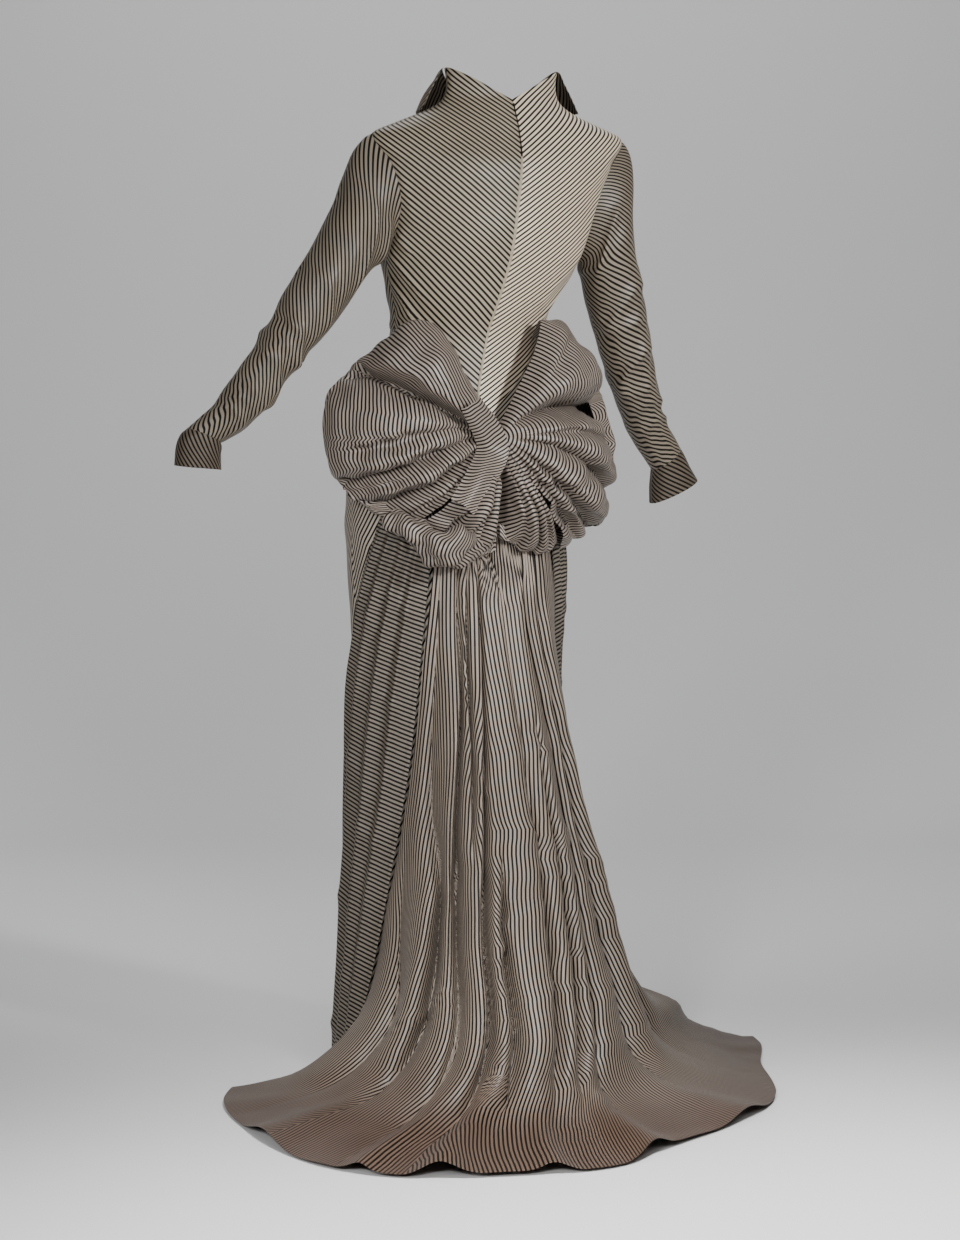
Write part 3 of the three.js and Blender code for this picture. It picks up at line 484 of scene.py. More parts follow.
@dataclass
class ClothPiece:
    """One cut piece of cloth, ready to be made a mesh.

    Attributes:
        name: The piece's name, which is its node's with _silk after it.
        node: The solid that it stands for, or None where it lies on one.
        points: Grid of its face, in millimetres by height above the floor.
        across_stripes: Flat place across the stripes, in millimetres, for each grid point or
            for the four corners of each grid square.
        along_stripes: Flat place along the stripes, in millimetres, for each grid point.
        material: Its silk.
        held: How the cloth is held; it is not used.
        rests_on: What carries it.
        flip: Whether the way across times the way along points into the cloth.
        ring: Whether the last column is the first one again.
        thickness: The shell's thickness in millimetres.
        trim: Whether it is sewn piping, which has no cut of its own.
    """

    name: str
    node: str | None
    points: Array
    across_stripes: Array
    along_stripes: Array
    material: bpy.types.Material
    held: str
    rests_on: tuple[str, ...]
    flip: bool = False
    ring: bool = False
    thickness: float = LIGHT_CLOTH
    trim: bool = False

    def corners(self) -> Array:
        """Flat coordinates in metres at the four corners of each grid square."""
        t = self.along_stripes
        t4 = np.stack([t[:-1, :-1], t[:-1, 1:], t[1:, 1:], t[1:, :-1]], axis=-1)
        s = self.across_stripes
        s4 = s if s.ndim == 3 else np.stack(
            [s[:-1, :-1], s[:-1, 1:], s[1:, 1:], s[1:, :-1]], axis=-1
        )
        return np.stack([s4, t4], axis=-1) / 1000

    def build(self) -> bpy.types.Object:
        """Makes the closed shell.

        The inner grid is the outer one less its normal times the thickness. Squares join the
        two along the open edges, and those edges are sharp.

        Returns:
            The object, which rides on the gown and stands for its node.
        """
        points = self.points
        inner = points - surface_normals(points, self.flip) * self.thickness
        if self.ring:
            inner[:, -1] = inner[:, 0]
        rows, wide = points.shape[:2]
        kept = wide - 1 if self.ring else wide
        index = np.arange(rows)[:, None] * kept + np.arange(wide)[None, :] % kept
        count = rows * kept
        a, b = index[:-1, :-1], index[:-1, 1:]
        c, d = index[1:, 1:], index[1:, :-1]
        outer = np.stack([a, b, c, d], axis=-1)
        uv4 = self.corners()
        order = [3, 2, 1, 0]
        faces = [outer.reshape(-1, 4), (outer[..., order] + count).reshape(-1, 4)]
        flat = [uv4.reshape(-1, 4, 2), uv4[..., order, :].reshape(-1, 4, 2)]

        def rim(first: Array, second: Array, uv_first: Array, uv_second: Array) -> None:
            """Joins the outer edge that runs first to second to the inner one."""
            faces.append(np.stack([second, first, first + count, second + count], axis=-1))
            flat.append(np.stack([uv_second, uv_first, uv_first, uv_second], axis=1))

        rim(a[0], b[0], uv4[0, :, 0], uv4[0, :, 1])
        rim(c[-1], d[-1], uv4[-1, :, 2], uv4[-1, :, 3])
        if not self.ring:
            rim(d[:, 0], a[:, 0], uv4[:, 0, 3], uv4[:, 0, 0])
            rim(b[:, -1], c[:, -1], uv4[:, -1, 1], uv4[:, -1, 2])
        quads = np.concatenate(faces)
        loops_uv = np.concatenate(flat)
        if self.flip:
            quads, loops_uv = quads[:, ::-1], loops_uv[:, ::-1]
        places = np.concatenate([points[:, :kept].reshape(-1, 3), inner[:, :kept].reshape(-1, 3)])
        edge = np.zeros((rows, kept), bool)
        edge[[0, -1]] = True
        if not self.ring:
            edge[:, [0, -1]] = True
        obj = make_mesh(self.name, places, quads, loops_uv, np.tile(edge.ravel(), 2))
        obj.data.materials.append(self.material)
        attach(obj, "root")
        if self.node:
            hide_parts(self.node)
        if self.trim:
            return obj
        width, length, area = CUTS[self.node or self.name]
        list(self.rests_on)
        return obj


def make_mesh(
    name: str, places: Array, quads: Array, loops_uv: Array, sharp: Array | None = None
) -> bpy.types.Object:
    """Puts whole arrays into a new mesh object at the origin.

    Args:
        name: The object's name.
        places: Points in millimetres, by height above the floor.
        quads: Four point numbers for each face.
        loops_uv: Flat coordinates in metres for each corner of each face.
        sharp: Marks the points along open edges, between which an edge is sharp.

    Returns:
        The object, linked to the scene.
    """
    mesh = bpy.data.meshes.new(name)
    mesh.vertices.add(len(places))
    mesh.vertices.foreach_set(
        "co", ((places - np.array([0, 0, ORIGIN_HEIGHT])) / 1000).astype(np.float32).ravel()
    )
    mesh.loops.add(quads.size)
    mesh.loops.foreach_set("vertex_index", np.ascontiguousarray(quads, np.int32).ravel())
    mesh.polygons.add(len(quads))
    mesh.polygons.foreach_set("loop_start", np.arange(0, quads.size, 4, dtype=np.int32))
    mesh.polygons.foreach_set("use_smooth", np.ones(len(quads), bool))
    mesh.update(calc_edges=True)
    layer = mesh.uv_layers.new(name=UV_NAME)
    layer.data.foreach_set("uv", np.ascontiguousarray(loops_uv, np.float32).ravel())
    if sharp is not None:
        ends = np.zeros(len(mesh.edges) * 2, np.int32)
        mesh.edges.foreach_get("vertices", ends)
        marked = sharp[ends.reshape(-1, 2)].all(axis=1)
        mesh.attributes.new("sharp_edge", "BOOLEAN", "EDGE").data.foreach_set("value", marked)
    mesh.validate()
    obj = bpy.data.objects.new(name, mesh)
    bpy.context.scene.collection.objects.link(obj)
    return obj


# ---------------------------------------------------------------- the gown's body
@dataclass
class Figure:
    """The level sections that the fitted pieces lie on.

    Each section is a rounded oval: x is its centre plus its half width times the cosine of the
    turn to the power two over `square`, and y the same with the sine and its back or front
    depth.
    """

    sections: Table = Table(
        "height x y half back front square seam",
        [
            (0, 54, -34, 170, 112, 150, 2.05, 0), (150, 54, -34, 161, 104, 136, 2.05, 0),
            (300, 54, -34, 155, 98, 123, 2.1, 0), (450, 54, -34, 153, 97, 113, 2.15, 0),
            (650, 54, -34, 158, 102, 109, 2.2, 0), (790, 54, -34, 169, 110, 113, 2.2, 0),
            (900, 54, -34, 171, 117, 113, 2.2, 2), (985, 53, -34, 164, 114, 109, 2.2, 4),
            (1050, 49, -32, 144, 100, 100, 2.15, 3.5), (1105, 42, -29, 125, 91, 89, 2.1, 2.5),
            (1150, 36, -26, 120, 88, 87, 2.1, 1), (1200, 29, -16, 134, 97, 102, 2.1, 0),
            (1262, 20, -4, 160, 106, 119, 2.15, 0), (1340, 12, 2, 177, 107, 116, 2.15, 0),
            (1400, 5, 8, 195, 98, 99, 2.05, 0), (1442, 0, 14, 209, 74, 82, 1.8, 0),
            (1463, 0, 18, 163, 62, 69, 1.8, 0), (1476, 0, 21, 130, 52, 61, 1.85, 0),
            (1487, 0, 23, 107, 45, 54, 1.95, 0), (1500, 0, 24, 94, 37, 49, 2, 0),
            (1522, 0, 25, 90, 34, 48, 2, 0), (1545, 0, 26, 94, 35, 50, 2, 0),
        ],
    )

    def at(self, height: Array | float) -> dict[str, Array]:
        """The section's sizes at a height."""
        return self.sections.at(height)

    def point(self, turn: Array | float, height: Array | float, off: Array | float = 0) -> Array:
        """A point `off` outside the body, at a turn in degrees from the wearer's left."""
        section = self.at(height)
        exponent = 2 / section["square"]
        cosine, sine = np.cos(np.radians(turn)), np.sin(np.radians(turn))
        depth = np.where(sine > 0, section["back"], section["front"]) + off
        return stack(
            section["x"] + (section["half"] + off) * power(cosine, exponent),
            section["y"] + depth * power(sine, exponent),
            height,
        )

    def depth(self, x: Array, height: Array, back: bool) -> Array:
        """y of the body's back, or front, at a place across and a height."""
        s = self.at(height)
        share = clamp01(1 - np.abs((x - s["x"]) / s["half"]) ** s["square"])
        reach = share ** (1 / s["square"])
        return s["y"] + s["back"] * reach if back else s["y"] - s["front"] * reach

    def level_arc(self, start: Array | float, turn: Array, height: Array) -> Array:
        """Length round the body at one height, from a start turn, as 24 short chords."""
        last = self.point(start, height)
        total = np.zeros(np.broadcast(turn, height).shape)
        for share in np.linspace(0, 1, 25)[1:]:
            here = self.point(mix(start, turn, share), height)
            total = total + np.linalg.norm(here - last, axis=-1)
            last = here
        return total

    def armhole(self, height: Array | float) -> Array:
        """Degrees that the armhole cuts in: a rounded U from underarm to shoulder."""
        share = clamp01((height - UNDERARM) / (SHOULDER_TIP - UNDERARM))
        return ARMHOLE_SWING * np.sin(math.pi * share) ** 0.6

    def waist(self, turn: Array) -> Array:
        """Height of the bodice's foot: level in front, down to a point at the centre back."""
        seam = 90 - float(self.at(BACK_POINT)["seam"])
        cosine, middle = np.cos(np.radians(turn)), math.cos(math.radians(seam))
        share = np.where(turn < seam, (1 - cosine) / (1 - middle), (1 + cosine) / (1 + middle))
        return np.where(turn <= 0, WAIST, mix(WAIST, BACK_POINT, share))

    def gap(self, radius: Array | float, square: Array | float = 2.0) -> Array:
        """Degrees that leave half a seam's gap beside a seam at that radius."""
        ratio = SEAM_GAP / 2 / np.asarray(radius)
        return np.maximum(ratio, ratio ** (np.asarray(square) / 2)) * 180 / math.pi


FIGURE = Figure()
ARMHOLE_LINE = 2            # the line of the tables below where the armhole starts
BACK_LINES = Table(
    "up side centre",
    [
        (0, WAIST, BACK_POINT), (3, WAIST + 14, WAIST - 22), (5, UNDERARM, UNDERARM - 6),
        (12, SHOULDER_TIP, SHOULDER_TIP - 10), (15, NECK_SIDE, BACK_NOTCH - 18),
        (17, COLLAR_PEAK, BACK_NOTCH),
    ],
)
FRONT_LINES = Table(
    "up side centre",
    [
        (0, WAIST, WAIST), (3, WAIST + 14, WAIST + 40), (5, UNDERARM, UNDERARM),
        (12, SHOULDER_TIP, FRONT_NECK - 48), (15, NECK_SIDE, FRONT_NECK - 18),
        (17, COLLAR_PEAK, FRONT_NECK),
    ],
)


def line_heights(lines: Table, up: Array) -> tuple[Array, Array]:
    """Heights of a bodice row at its side and at its centre, straight between the lines.

    Beside the armhole the rows lie closer together at its two ends: the share of the way is
    half of one less the cosine of the even share times a half turn.

    Args:
        lines: The side and centre heights of the lines.
        up: Share of the way up all the rows.

    Returns:
        The side's heights and the centre's.
    """
    keys = lines.rows[:, 0]
    low, high = keys[ARMHOLE_LINE], keys[ARMHOLE_LINE + 1]
    place = clamp01(up) * keys[-1]
    even = clamp01((place - low) / (high - low))
    eased = mix(low, high, (1 - np.cos(math.pi * even)) / 2)
    place = np.where((place > low) & (place < high), eased, place)
    return np.interp(place, keys, lines.rows[:, 1]), np.interp(place, keys, lines.rows[:, 2])


@dataclass
class Bodice:
    """The fitted body: two back halves to the centre back seam, and a front with a V neck."""

    silk: bpy.types.Material
    painted_sheen_silk: bpy.types.Material     # the right back half, painted lighter: a painted sheen
    columns: int = 80
    rows: int = 120
    stripe_slope: float = 37.0      # degrees that the back's stripes rise from the seam
    bust_swing: float = 33.0
    bust_height: float = 1272.0
    bust_rise: float = 15.0
    bust_width: float = 19.0
    bust_length: float = 52.0

    def back(self, side: Side) -> ClothPiece:
        """One back half. Its stripes run down to the centre seam, so that two halves meet in Vs.

        Args:
            side: The wearer's side.

        Returns:
            The piece.
        """
        u, v = grid(self.columns, self.rows)
        side_height, centre_height = line_heights(BACK_LINES, v)
        foot = FIGURE.at(side_height)
        edge = FIGURE.armhole(side_height) + FIGURE.gap(foot["back"], foot["square"])
        middle = FIGURE.at(centre_height)
        seam = 90 - side.value * middle["seam"] - FIGURE.gap(middle["half"])
        swing = mix(edge, seam, u)
        cosine = np.cos(np.radians(edge))
        reach = (cosine - np.cos(np.radians(swing))) / (cosine - np.cos(np.radians(seam)))
        turn = swing if side is Side.LEFT else 180 - swing
        height = mix(side_height, centre_height, reach)
        points = FIGURE.point(turn, height)
        centre = 90 - FIGURE.at(height)["seam"]
        arc = FIGURE.level_arc(centre, turn, height)
        slope = math.radians(self.stripe_slope)
        folds = creases(points, BACK_CREASES[side])
        folds += 0.7 * ripple(arc, height, 90, 11 if side is Side.LEFT else 12) * smooth(arc / 30)
        flip = side is Side.RIGHT
        points = points + surface_normals(points, flip) * folds[..., None]
        return ClothPiece(
            f"bodice_back_{side.word}_silk", f"bodice_back_{side.word}", points,
            height * math.cos(slope) - arc * math.sin(slope),
            height * math.sin(slope) + arc * math.cos(slope),
            # The right back half takes the silk painted lighter, a painted sheen.
            self.painted_sheen_silk if side is Side.RIGHT else self.silk, "stretched",
            ("bodice_front_silk",), flip, thickness=CLOTH,
        )

    def front(self) -> ClothPiece:
        """The front from side seam to side seam, with two soft mounds given by its darts."""
        u, v = grid(self.columns * 2, self.rows)
        side_height, centre_height = line_heights(FRONT_LINES, v)
        foot = FIGURE.at(side_height)
        edge = FIGURE.armhole(side_height) + FIGURE.gap(foot["front"], foot["square"])
        turn = mix(-180 + edge, -edge, u)
        reach = np.abs(np.cos(np.radians(turn))) / np.cos(np.radians(edge))
        scoop = mix(1.0, NECK_SCOOP, smooth((v - 0.36) / 0.4))
        height = mix(centre_height, side_height, clamp01(reach) ** scoop)
        mound = np.exp(
            -(((np.abs(turn + 90) - self.bust_swing) / self.bust_width) ** 2)
            - ((height - self.bust_height) / self.bust_length) ** 2
        )
        points = FIGURE.point(turn, height, self.bust_rise * mound)
        arc = FIGURE.level_arc(-90.0, turn, height)
        slope = math.radians(self.stripe_slope)
        folds = creases(points, FRONT_CREASES)
        points = points + surface_normals(points, False) * folds[..., None]
        return ClothPiece(
            "bodice_front_silk", "bodice_front", points,
            height * math.cos(slope) - arc * math.sin(slope),
            height * math.sin(slope) + arc * math.cos(slope),
            self.silk, "stretched", ("bodice_back_left_silk", "bodice_back_right_silk"), False,
            thickness=CLOTH,
        )


# Creases of the back halves: drag lines at the waist's side, and soft ones off the armhole.
BACK_CREASES = {
    Side.LEFT: [
        (0.02, 0.33, 0.42, 0.22, 9, 4.0, 6), (0.0, 0.26, 0.36, 0.16, 8, 4.5, 5),
        (0.03, 0.18, 0.5, 0.12, 7, 3.5, -4), (0.05, 0.1, 0.4, 0.06, 6, 3.0, 3),
        (0.02, 0.40, 0.3, 0.30, 10, 3.0, 4), (0.05, 0.55, 0.22, 0.42, 11, 3.0, 5),
        (0.1, 0.66, 0.3, 0.5, 13, 2.0, 5),
    ],
    Side.RIGHT: [
        (0.03, 0.3, 0.5, 0.16, 9, 3.0, 5), (0.05, 0.2, 0.45, 0.08, 8, 3.0, 4),
        (0.04, 0.52, 0.24, 0.40, 11, 2.6, 5), (0.12, 0.68, 0.36, 0.52, 15, 2.2, 6),
        (0.2, 0.42, 0.6, 0.22, 16, 2.0, 8),
    ],
}
FRONT_CREASES = [
    (0.03, 0.25, 0.3, 0.12, 9, 2.5, 5), (0.97, 0.25, 0.7, 0.12, 9, 2.5, -5),
    (0.05, 0.12, 0.4, 0.05, 8, 2.2, 3), (0.95, 0.12, 0.62, 0.05, 8, 2.0, -3),
    (0.06, 0.5, 0.2, 0.38, 11, 2.2, 4), (0.94, 0.5, 0.8, 0.38, 11, 2.2, -4),
]


# ---------------------------------------------------------------- sleeves and cuffs
SLEEVE_NAMES = "index x y height lean wide deep"
SLEEVE_RINGS = {
    Side.LEFT: [
        (194, 8, 1352, 9, 89, 44), (212, 7, 1327, 22, 74, 50), (227, 5, 1300, 35, 59, 52),
        (244, 2, 1274, 50, 49, 50), (273, 0, 1230, 55, 46, 48), (304, -3, 1183, 57, 45, 46),
        (329, -6, 1146, 58, 39, 42), (350, -10, 1120, 56, 34, 38), (368, -18, 1091, 53, 34, 36),
        (385, -26, 1063, 50, 35, 35), (404, -42, 1036, 49, 32, 32), (420, -57, 1013, 53, 29, 30),
        (447, -77, 989, 66, 28, 28),
    ],
    Side.RIGHT: [
        (175, 5, 1352, 21, 95, 44), (189, 4, 1317, 30, 74, 49), (190, 3, 1287, 45, 57, 51),
        (193, 0, 1257, 67, 47, 49), (201, -3, 1235, 81, 46, 48), (208, -5, 1206, 79, 46, 46),
        (221, -8, 1163, 75, 44, 44), (234, -12, 1120, 72, 41, 41), (246, -20, 1088, 69, 39, 38),
        (260, -28, 1058, 66, 37, 36), (278, -42, 1025, 63, 34, 33), (295, -54, 997, 60, 31, 31),
        (338, -71, 946, 53, 29, 28),
    ],
}
CUFF_RINGS = {
    Side.LEFT: [
        (447, -77, 989, 66, 28, 28), (450, -81, 981, 72, 33, 31), (452, -87, 966, 77, 35, 33),
        (450, -95, 941, 84, 36, 34),
    ],
    Side.RIGHT: [
        (338, -71, 946, 53, 29, 28), (344, -76, 935, 59, 32, 30), (352, -83, 917, 65, 36, 32),
        (364, -93, 893, 64, 43, 34),
    ],
}
# Creases of the sleeves, with across counted from the outer side round the back: crushed
# inside the elbow, and pushed up at the wrist.
SLEEVE_CREASES = {
    Side.LEFT: [
        (0.12, 0.50, 0.42, 0.62, 8, 4.5, 6), (0.18, 0.58, 0.45, 0.55, 7, 3.5, -4),
        (0.1, 0.66, 0.4, 0.72, 8, 4.0, 5), (0.15, 0.78, 0.45, 0.74, 7, 3.5, -4),
        (0.1, 0.86, 0.4, 0.82, 6, 3.0, 3), (0.2, 0.12, 0.4, 0.34, 10, 3.5, 8),
        (0.3, 0.1, 0.48, 0.24, 8, 3.0, 4), (0.7, 0.5, 0.95, 0.6, 8, 3.5, 5),
        (0.6, 0.7, 0.9, 0.76, 8, 3.0, 4), (0.55, 0.3, 0.85, 0.4, 9, 3.0, 4),
        (0.05, 0.93, 0.4, 0.9, 5, 2.6, 2), (0.13, 0.36, 0.4, 0.46, 10, 3.0, 6),
    ],
    Side.RIGHT: [
        (0.1, 0.4, 0.42, 0.5, 9, 4.0, 6), (0.16, 0.5, 0.45, 0.47, 7, 3.5, -4),
        (0.12, 0.6, 0.42, 0.68, 8, 4.0, 5), (0.18, 0.74, 0.44, 0.7, 7, 3.2, -4),
        (0.08, 0.84, 0.42, 0.79, 6, 3.0, 3), (0.22, 0.1, 0.4, 0.3, 10, 3.5, 8),
        (0.6, 0.42, 0.92, 0.52, 8, 3.0, 5), (0.6, 0.66, 0.9, 0.72, 8, 3.0, 4),
        (0.05, 0.93, 0.42, 0.9, 5, 2.6, 2),
    ],
}


@dataclass
class Sleeve:
    """A long fitted sleeve and its flared cuff, on tilted oval rings along the arm."""

    # Both silks are finishes painted darker, the cuff's darkest: painted shade.
    silk: bpy.types.Material
    cuff_silk: bpy.types.Material
    side: Side
    columns: int = 88
    rows: int = 140
    cap_end: float = 0.2            # share of the way down where the cap ends
    cap_roll: float = 26.0
    stripe_slope: float = 40.0      # degrees between the stripes and the arm

    def ring_way(self, lean: Array) -> Array:
        """Unit way down the arm at a lean in degrees."""
        lean = np.radians(lean)
        return stack(self.side.value * np.cos(lean), 0 * lean, -np.sin(lean))

    def on_arm(self, ring: dict[str, Array], clock: Array) -> Array:
        """A point on a ring: clock 0 is the outer side, a quarter turn the back."""
        lean = np.radians(ring["lean"])
        outer = stack(self.side.value * np.sin(lean), 0 * lean, np.cos(lean))
        rear = stack(0 * lean, 1 + 0 * lean, 0 * lean)
        centre = stack(self.side.value * ring["x"], ring["y"], ring["height"])
        return (
            centre
            + outer * (ring["wide"] * np.cos(clock))[..., None]
            + rear * (ring["deep"] * np.sin(clock))[..., None]
        )

    def armhole(self, clock: Array) -> Array:
        """A point on the armhole's seam at a clock in radians."""
        height = mix(UNDERARM, SHOULDER_TIP, (1 + np.cos(clock)) / 2)
        swing = FIGURE.armhole(height) * np.sign(np.sin(clock))
        return FIGURE.point(swing if self.side is Side.LEFT else 180 - swing, height)

    def rings(self, rows: list[tuple[float, ...]]) -> Table:
        """The rings as a table by their number."""
        return Table(SLEEVE_NAMES, [(float(i), *row) for i, row in enumerate(rows)])

    def stripes(self, points: Array, u: Array, start: Array | float = 0.0) -> tuple[Array, Array]:
        """Flat coordinates of a tube that is cut open under the arm.

        The place round is the arc from the back of the arm, less a whole turn past the
        underarm. The stripe's place is that times the slope's cosine, with the place along
        times its sine taken off on the left and added on the right.

        Args:
            points: The tube's grid.
            u: Share of the way round, from the outer side.
            start: Place along the arm where the cap of this tube ends, in millimetres.

        Returns:
            Place across the stripes at each square's corners, and along the arm.
        """
        round_arm, along = arc_across(points), arc_along(points)
        along = along - along[int(self.cap_end * (len(along) - 1))] + start
        rear = round_arm[:, u.shape[1] // 4][:, None]
        turned = np.where(u[:, :-1] + 1e-6 >= 0.5, round_arm[:, -1:], 0.0) + rear
        slope = math.radians(self.stripe_slope)
        wind = -self.side.value * math.sin(slope)
        left = (round_arm[:, :-1] - turned) * math.cos(slope) + along[:, :-1] * wind
        right = (round_arm[:, 1:] - turned) * math.cos(slope) + along[:, 1:] * wind
        return squares(left, right), along

    def sleeve(self) -> ClothPiece:
        """The sleeve from the armhole to the wrist seam."""
        rows = SLEEVE_RINGS[self.side]
        u, v = grid(self.columns, self.rows)
        clock, place = 2 * math.pi * u, v * (len(rows) - 1)
        ring = self.rings(rows).at(place)
        on_arm = self.on_arm(ring, clock)
        on_arm[-1] -= self.ring_way(ring["lean"][-1]) * SEAM_GAP
        first, second = self.ring_way(rows[0][3]), self.ring_way(rows[1][3])
        roll = self.cap_roll * place * (1 + np.cos(clock)) / 2
        start = self.armhole(clock) + first * SEAM_GAP + second * roll[..., None]
        settle = smooth(place / 2.2)[..., None]
        points = mix(start, on_arm, settle)
        flip = self.side is Side.LEFT
        folds = 1.7 * creases(points, SLEEVE_CREASES[self.side])
        folds += 0.8 * ripple(u * 260, arc_along(points), 70, 21 + self.side.value)
        folds *= smooth(v / 0.04) * smooth((1 - v) / 0.03)
        folds[:, -1] = folds[:, 0]
        points = points + self.ring_normals(points, flip) * folds[..., None]
        s, t = self.stripes(points, u)
        return ClothPiece(
            f"sleeve_{self.side.word}_silk", f"sleeve_{self.side.word}", points, s, t,
            self.silk, "stretched", (f"bodice_back_{self.side.word}_silk",), flip, ring=True,
            thickness=CLOTH,
        )

    def ring_normals(self, points: Array, flip: bool) -> Array:
        """Normals of a closed ring of columns, the same at its first and last one."""
        normals = surface_normals(points, flip)
        joined = normals[:, 0] + normals[:, -1]
        joined /= np.maximum(np.linalg.norm(joined, axis=1, keepdims=True), 1e-9)
        normals[:, 0] = normals[:, -1] = joined
        return normals

    def cuff(self) -> ClothPiece:
        """The cuff, which flares over the hand and rolls a little at its edge."""
        rows = CUFF_RINGS[self.side]
        u, v = grid(self.columns, 20)
        ring = self.rings(rows).at(v * (len(rows) - 1))
        points = self.on_arm(ring, 2 * math.pi * u)
        flip = self.side is Side.LEFT
        wave = 1.2 * np.sin(2 * math.pi * (2 * u + 0.1)) * smooth((v - 0.3) / 0.7)
        points = points + self.ring_normals(points, flip) * wave[..., None]
        s, t = self.stripes(points, u, 560.0)
        return ClothPiece(
            f"cuff_{self.side.word}_silk", f"cuff_{self.side.word}", points, s, t,
            self.cuff_silk, "stretched", (f"sleeve_{self.side.word}_silk",), flip, ring=True,
            thickness=CLOTH,
        )


@dataclass
class Collar:
    """The turned-down wings of the grown-on stand collar."""

    silk: bpy.types.Material
    clear: float = 3.2
    roll_rise: float = 3.0
    wing: Table = Table(
        "along turn out drop",
        [
            (0, -2, 36, 63), (0.3, -22, 42, 60), (0.6, -48, 44, 60), (0.85, -70, 36, 56),
            (1, -82, 14, 40),
        ],
    )

    def shoulder(self, x: Array, y: Array) -> Array:
        """Height of the body's surface under a point in plan, by halving the interval."""
        low, high = np.full(x.shape, UNDERARM), np.full(x.shape, 1545.0)
        for _ in range(24):
            middle = (low + high) / 2
            s = FIGURE.at(middle)
            depth = np.where(y > s["y"], s["back"], s["front"])
            outside = (
                np.abs((x - s["x"]) / s["half"]) ** s["square"]
                + np.abs((y - s["y"]) / depth) ** s["square"]
            ) > 1
            high, low = np.where(outside, middle, high), np.where(outside, low, middle)
        return low

    def make(self, side: Side) -> ClothPiece:
        """One wing, from its fold line out and down to its free edge."""
        along, down = grid(50, 28)
        row = self.wing.at(along)
        share = np.abs(np.cos(np.radians(row["turn"]))) ** NECK_SCOOP
        top = mix(FRONT_NECK, COLLAR_PEAK, share)
        points = FIGURE.point(row["turn"], top, self.clear)
        away = stack(np.cos(np.radians(row["turn"])), np.sin(np.radians(row["turn"])), 0.0)
        bulge = np.sin(math.pi * down) * mix(1.5, 6.0, smooth(along / 0.3))
        points = points + away * (row["out"] * down + bulge)[..., None]
        hang = top + self.roll_rise * np.sin(math.pi * np.minimum(1, down * 4))
        points[..., 2] = hang - row["drop"] * down
        clear = self.clear + 1.3
        lift = self.shoulder(points[..., 0], points[..., 1]) + clear - points[..., 2]
        push = points[..., 1] - FIGURE.depth(points[..., 0], points[..., 2], back=False) + clear
        inside = (lift > 0) & (push > 0)
        points[..., 2] += np.where(inside & (lift < push), lift, 0)
        points[..., 1] -= np.where(inside & (lift >= push), push, 0)
        points[..., 0] *= side.value
        a, b = arc_across(points), arc_along(points)
        slope = math.radians(52)
        return ClothPiece(
            f"collar_{side.word}_silk", f"collar_{side.word}", points,
            b * math.cos(slope) - a * math.sin(slope), b * math.sin(slope) + a * math.cos(slope),
            self.silk, "folded", (f"bodice_back_{side.word}_silk",), side is Side.RIGHT,
            thickness=CLOTH,
        )


# ---------------------------------------------------------------- sheath and side drapes
@dataclass
class Sheath:
    """The narrow underskirt, in a front and a back panel, cut on the bias."""

    silk: bpy.types.Material
    stripe_slope: float = 58.0

    def make(self, back: bool) -> ClothPiece:
        """One panel from the bodice's foot to the floor."""
        gap = float(FIGURE.gap(FIGURE.at(WAIST)["back"]))
        seam = 90 - float(FIGURE.at(BACK_POINT)["seam"])
        first, middle, last = (gap, seam, 180 - gap) if back else (-180 + gap, -90, -gap)
        u, v = grid(90, 100)
        turn = np.where(u < 0.5, mix(first, middle, u * 2), mix(middle, last, u * 2 - 1))
        height = mix(FLOOR_CLEARANCE, FIGURE.waist(turn) - SEAM_GAP, v)
        points = FIGURE.point(turn, height)
        arc = FIGURE.level_arc(0.0 if back else -180.0, turn, height)
        slope = math.radians(self.stripe_slope)
        folds = 1.3 * ripple(arc, height, 210, 31) + creases(points, SHEATH_CREASES[back])
        folds = folds * smooth((1 - v) / 0.05) * (1 - smooth((np.abs(2 * u - 1) - 0.97) / 0.03))
        points = points + surface_normals(points, False) * folds[..., None]
        name = "skirt_back" if back else "skirt_front"
        return ClothPiece(
            name + "_silk", name, points,
            height * math.cos(slope) - arc * math.sin(slope),
            height * math.sin(slope) + arc * math.cos(slope),
            self.silk, "hung", ("bodice_front_silk",), False, thickness=CLOTH,
        )


SHEATH_CREASES = {
    True: [(0.02, 0.75, 0.3, 0.7, 14, 3, 6)],
    False: [
        (0.75, 0.86, 0.98, 0.9, 14, 3.0, 5), (0.72, 0.7, 0.97, 0.76, 16, 3.0, 6),
        (0.75, 0.55, 0.98, 0.62, 16, 2.5, 5), (0.7, 0.3, 0.95, 0.42, 18, 3.0, 8),
        (0.2, 0.8, 0.45, 0.84, 16, 2.5, 5), (0.3, 0.5, 0.6, 0.55, 18, 2.5, 8),
        (0.25, 0.25, 0.5, 0.3, 18, 2.5, 8),
    ],
}
DRAPE_NAMES = "down height front back stand proud fold"
DRAPE_FALL = {
    Side.LEFT: [
        (0, 905, 38, 66, 1.7, 0, 2), (0.12, 800, 20, 63, 6, 6, 7), (0.28, 660, -6, 57, 8, 8, 10),
        (0.45, 500, -24, 50, 10, 9, 11), (0.62, 350, -33, 40, 12, 10, 11),
        (0.8, 180, -38, 27, 15, 8, 10), (1, 4, -40, 8, 14, 3, 8),
    ],
    Side.RIGHT: [
        (0, 905, 34, 52, 1.7, 0, 2), (0.12, 800, 20, 45, 6, 2, 7), (0.28, 660, -6, 33, 8, 2, 9),
        (0.45, 500, -24, 25, 14, 3, 10), (0.62, 350, -33, 18, 17, 3, 10),
        (0.8, 180, -38, 9, 19, 3, 9), (1, 4, -40, 0, 14, 2, 7),
    ],
}
DRAPE_FOLDS = [(0.12, 0.07, 0.8), (0.34, 0.085, 1.0), (0.58, 0.08, 0.95), (0.8, 0.07, 0.7)]


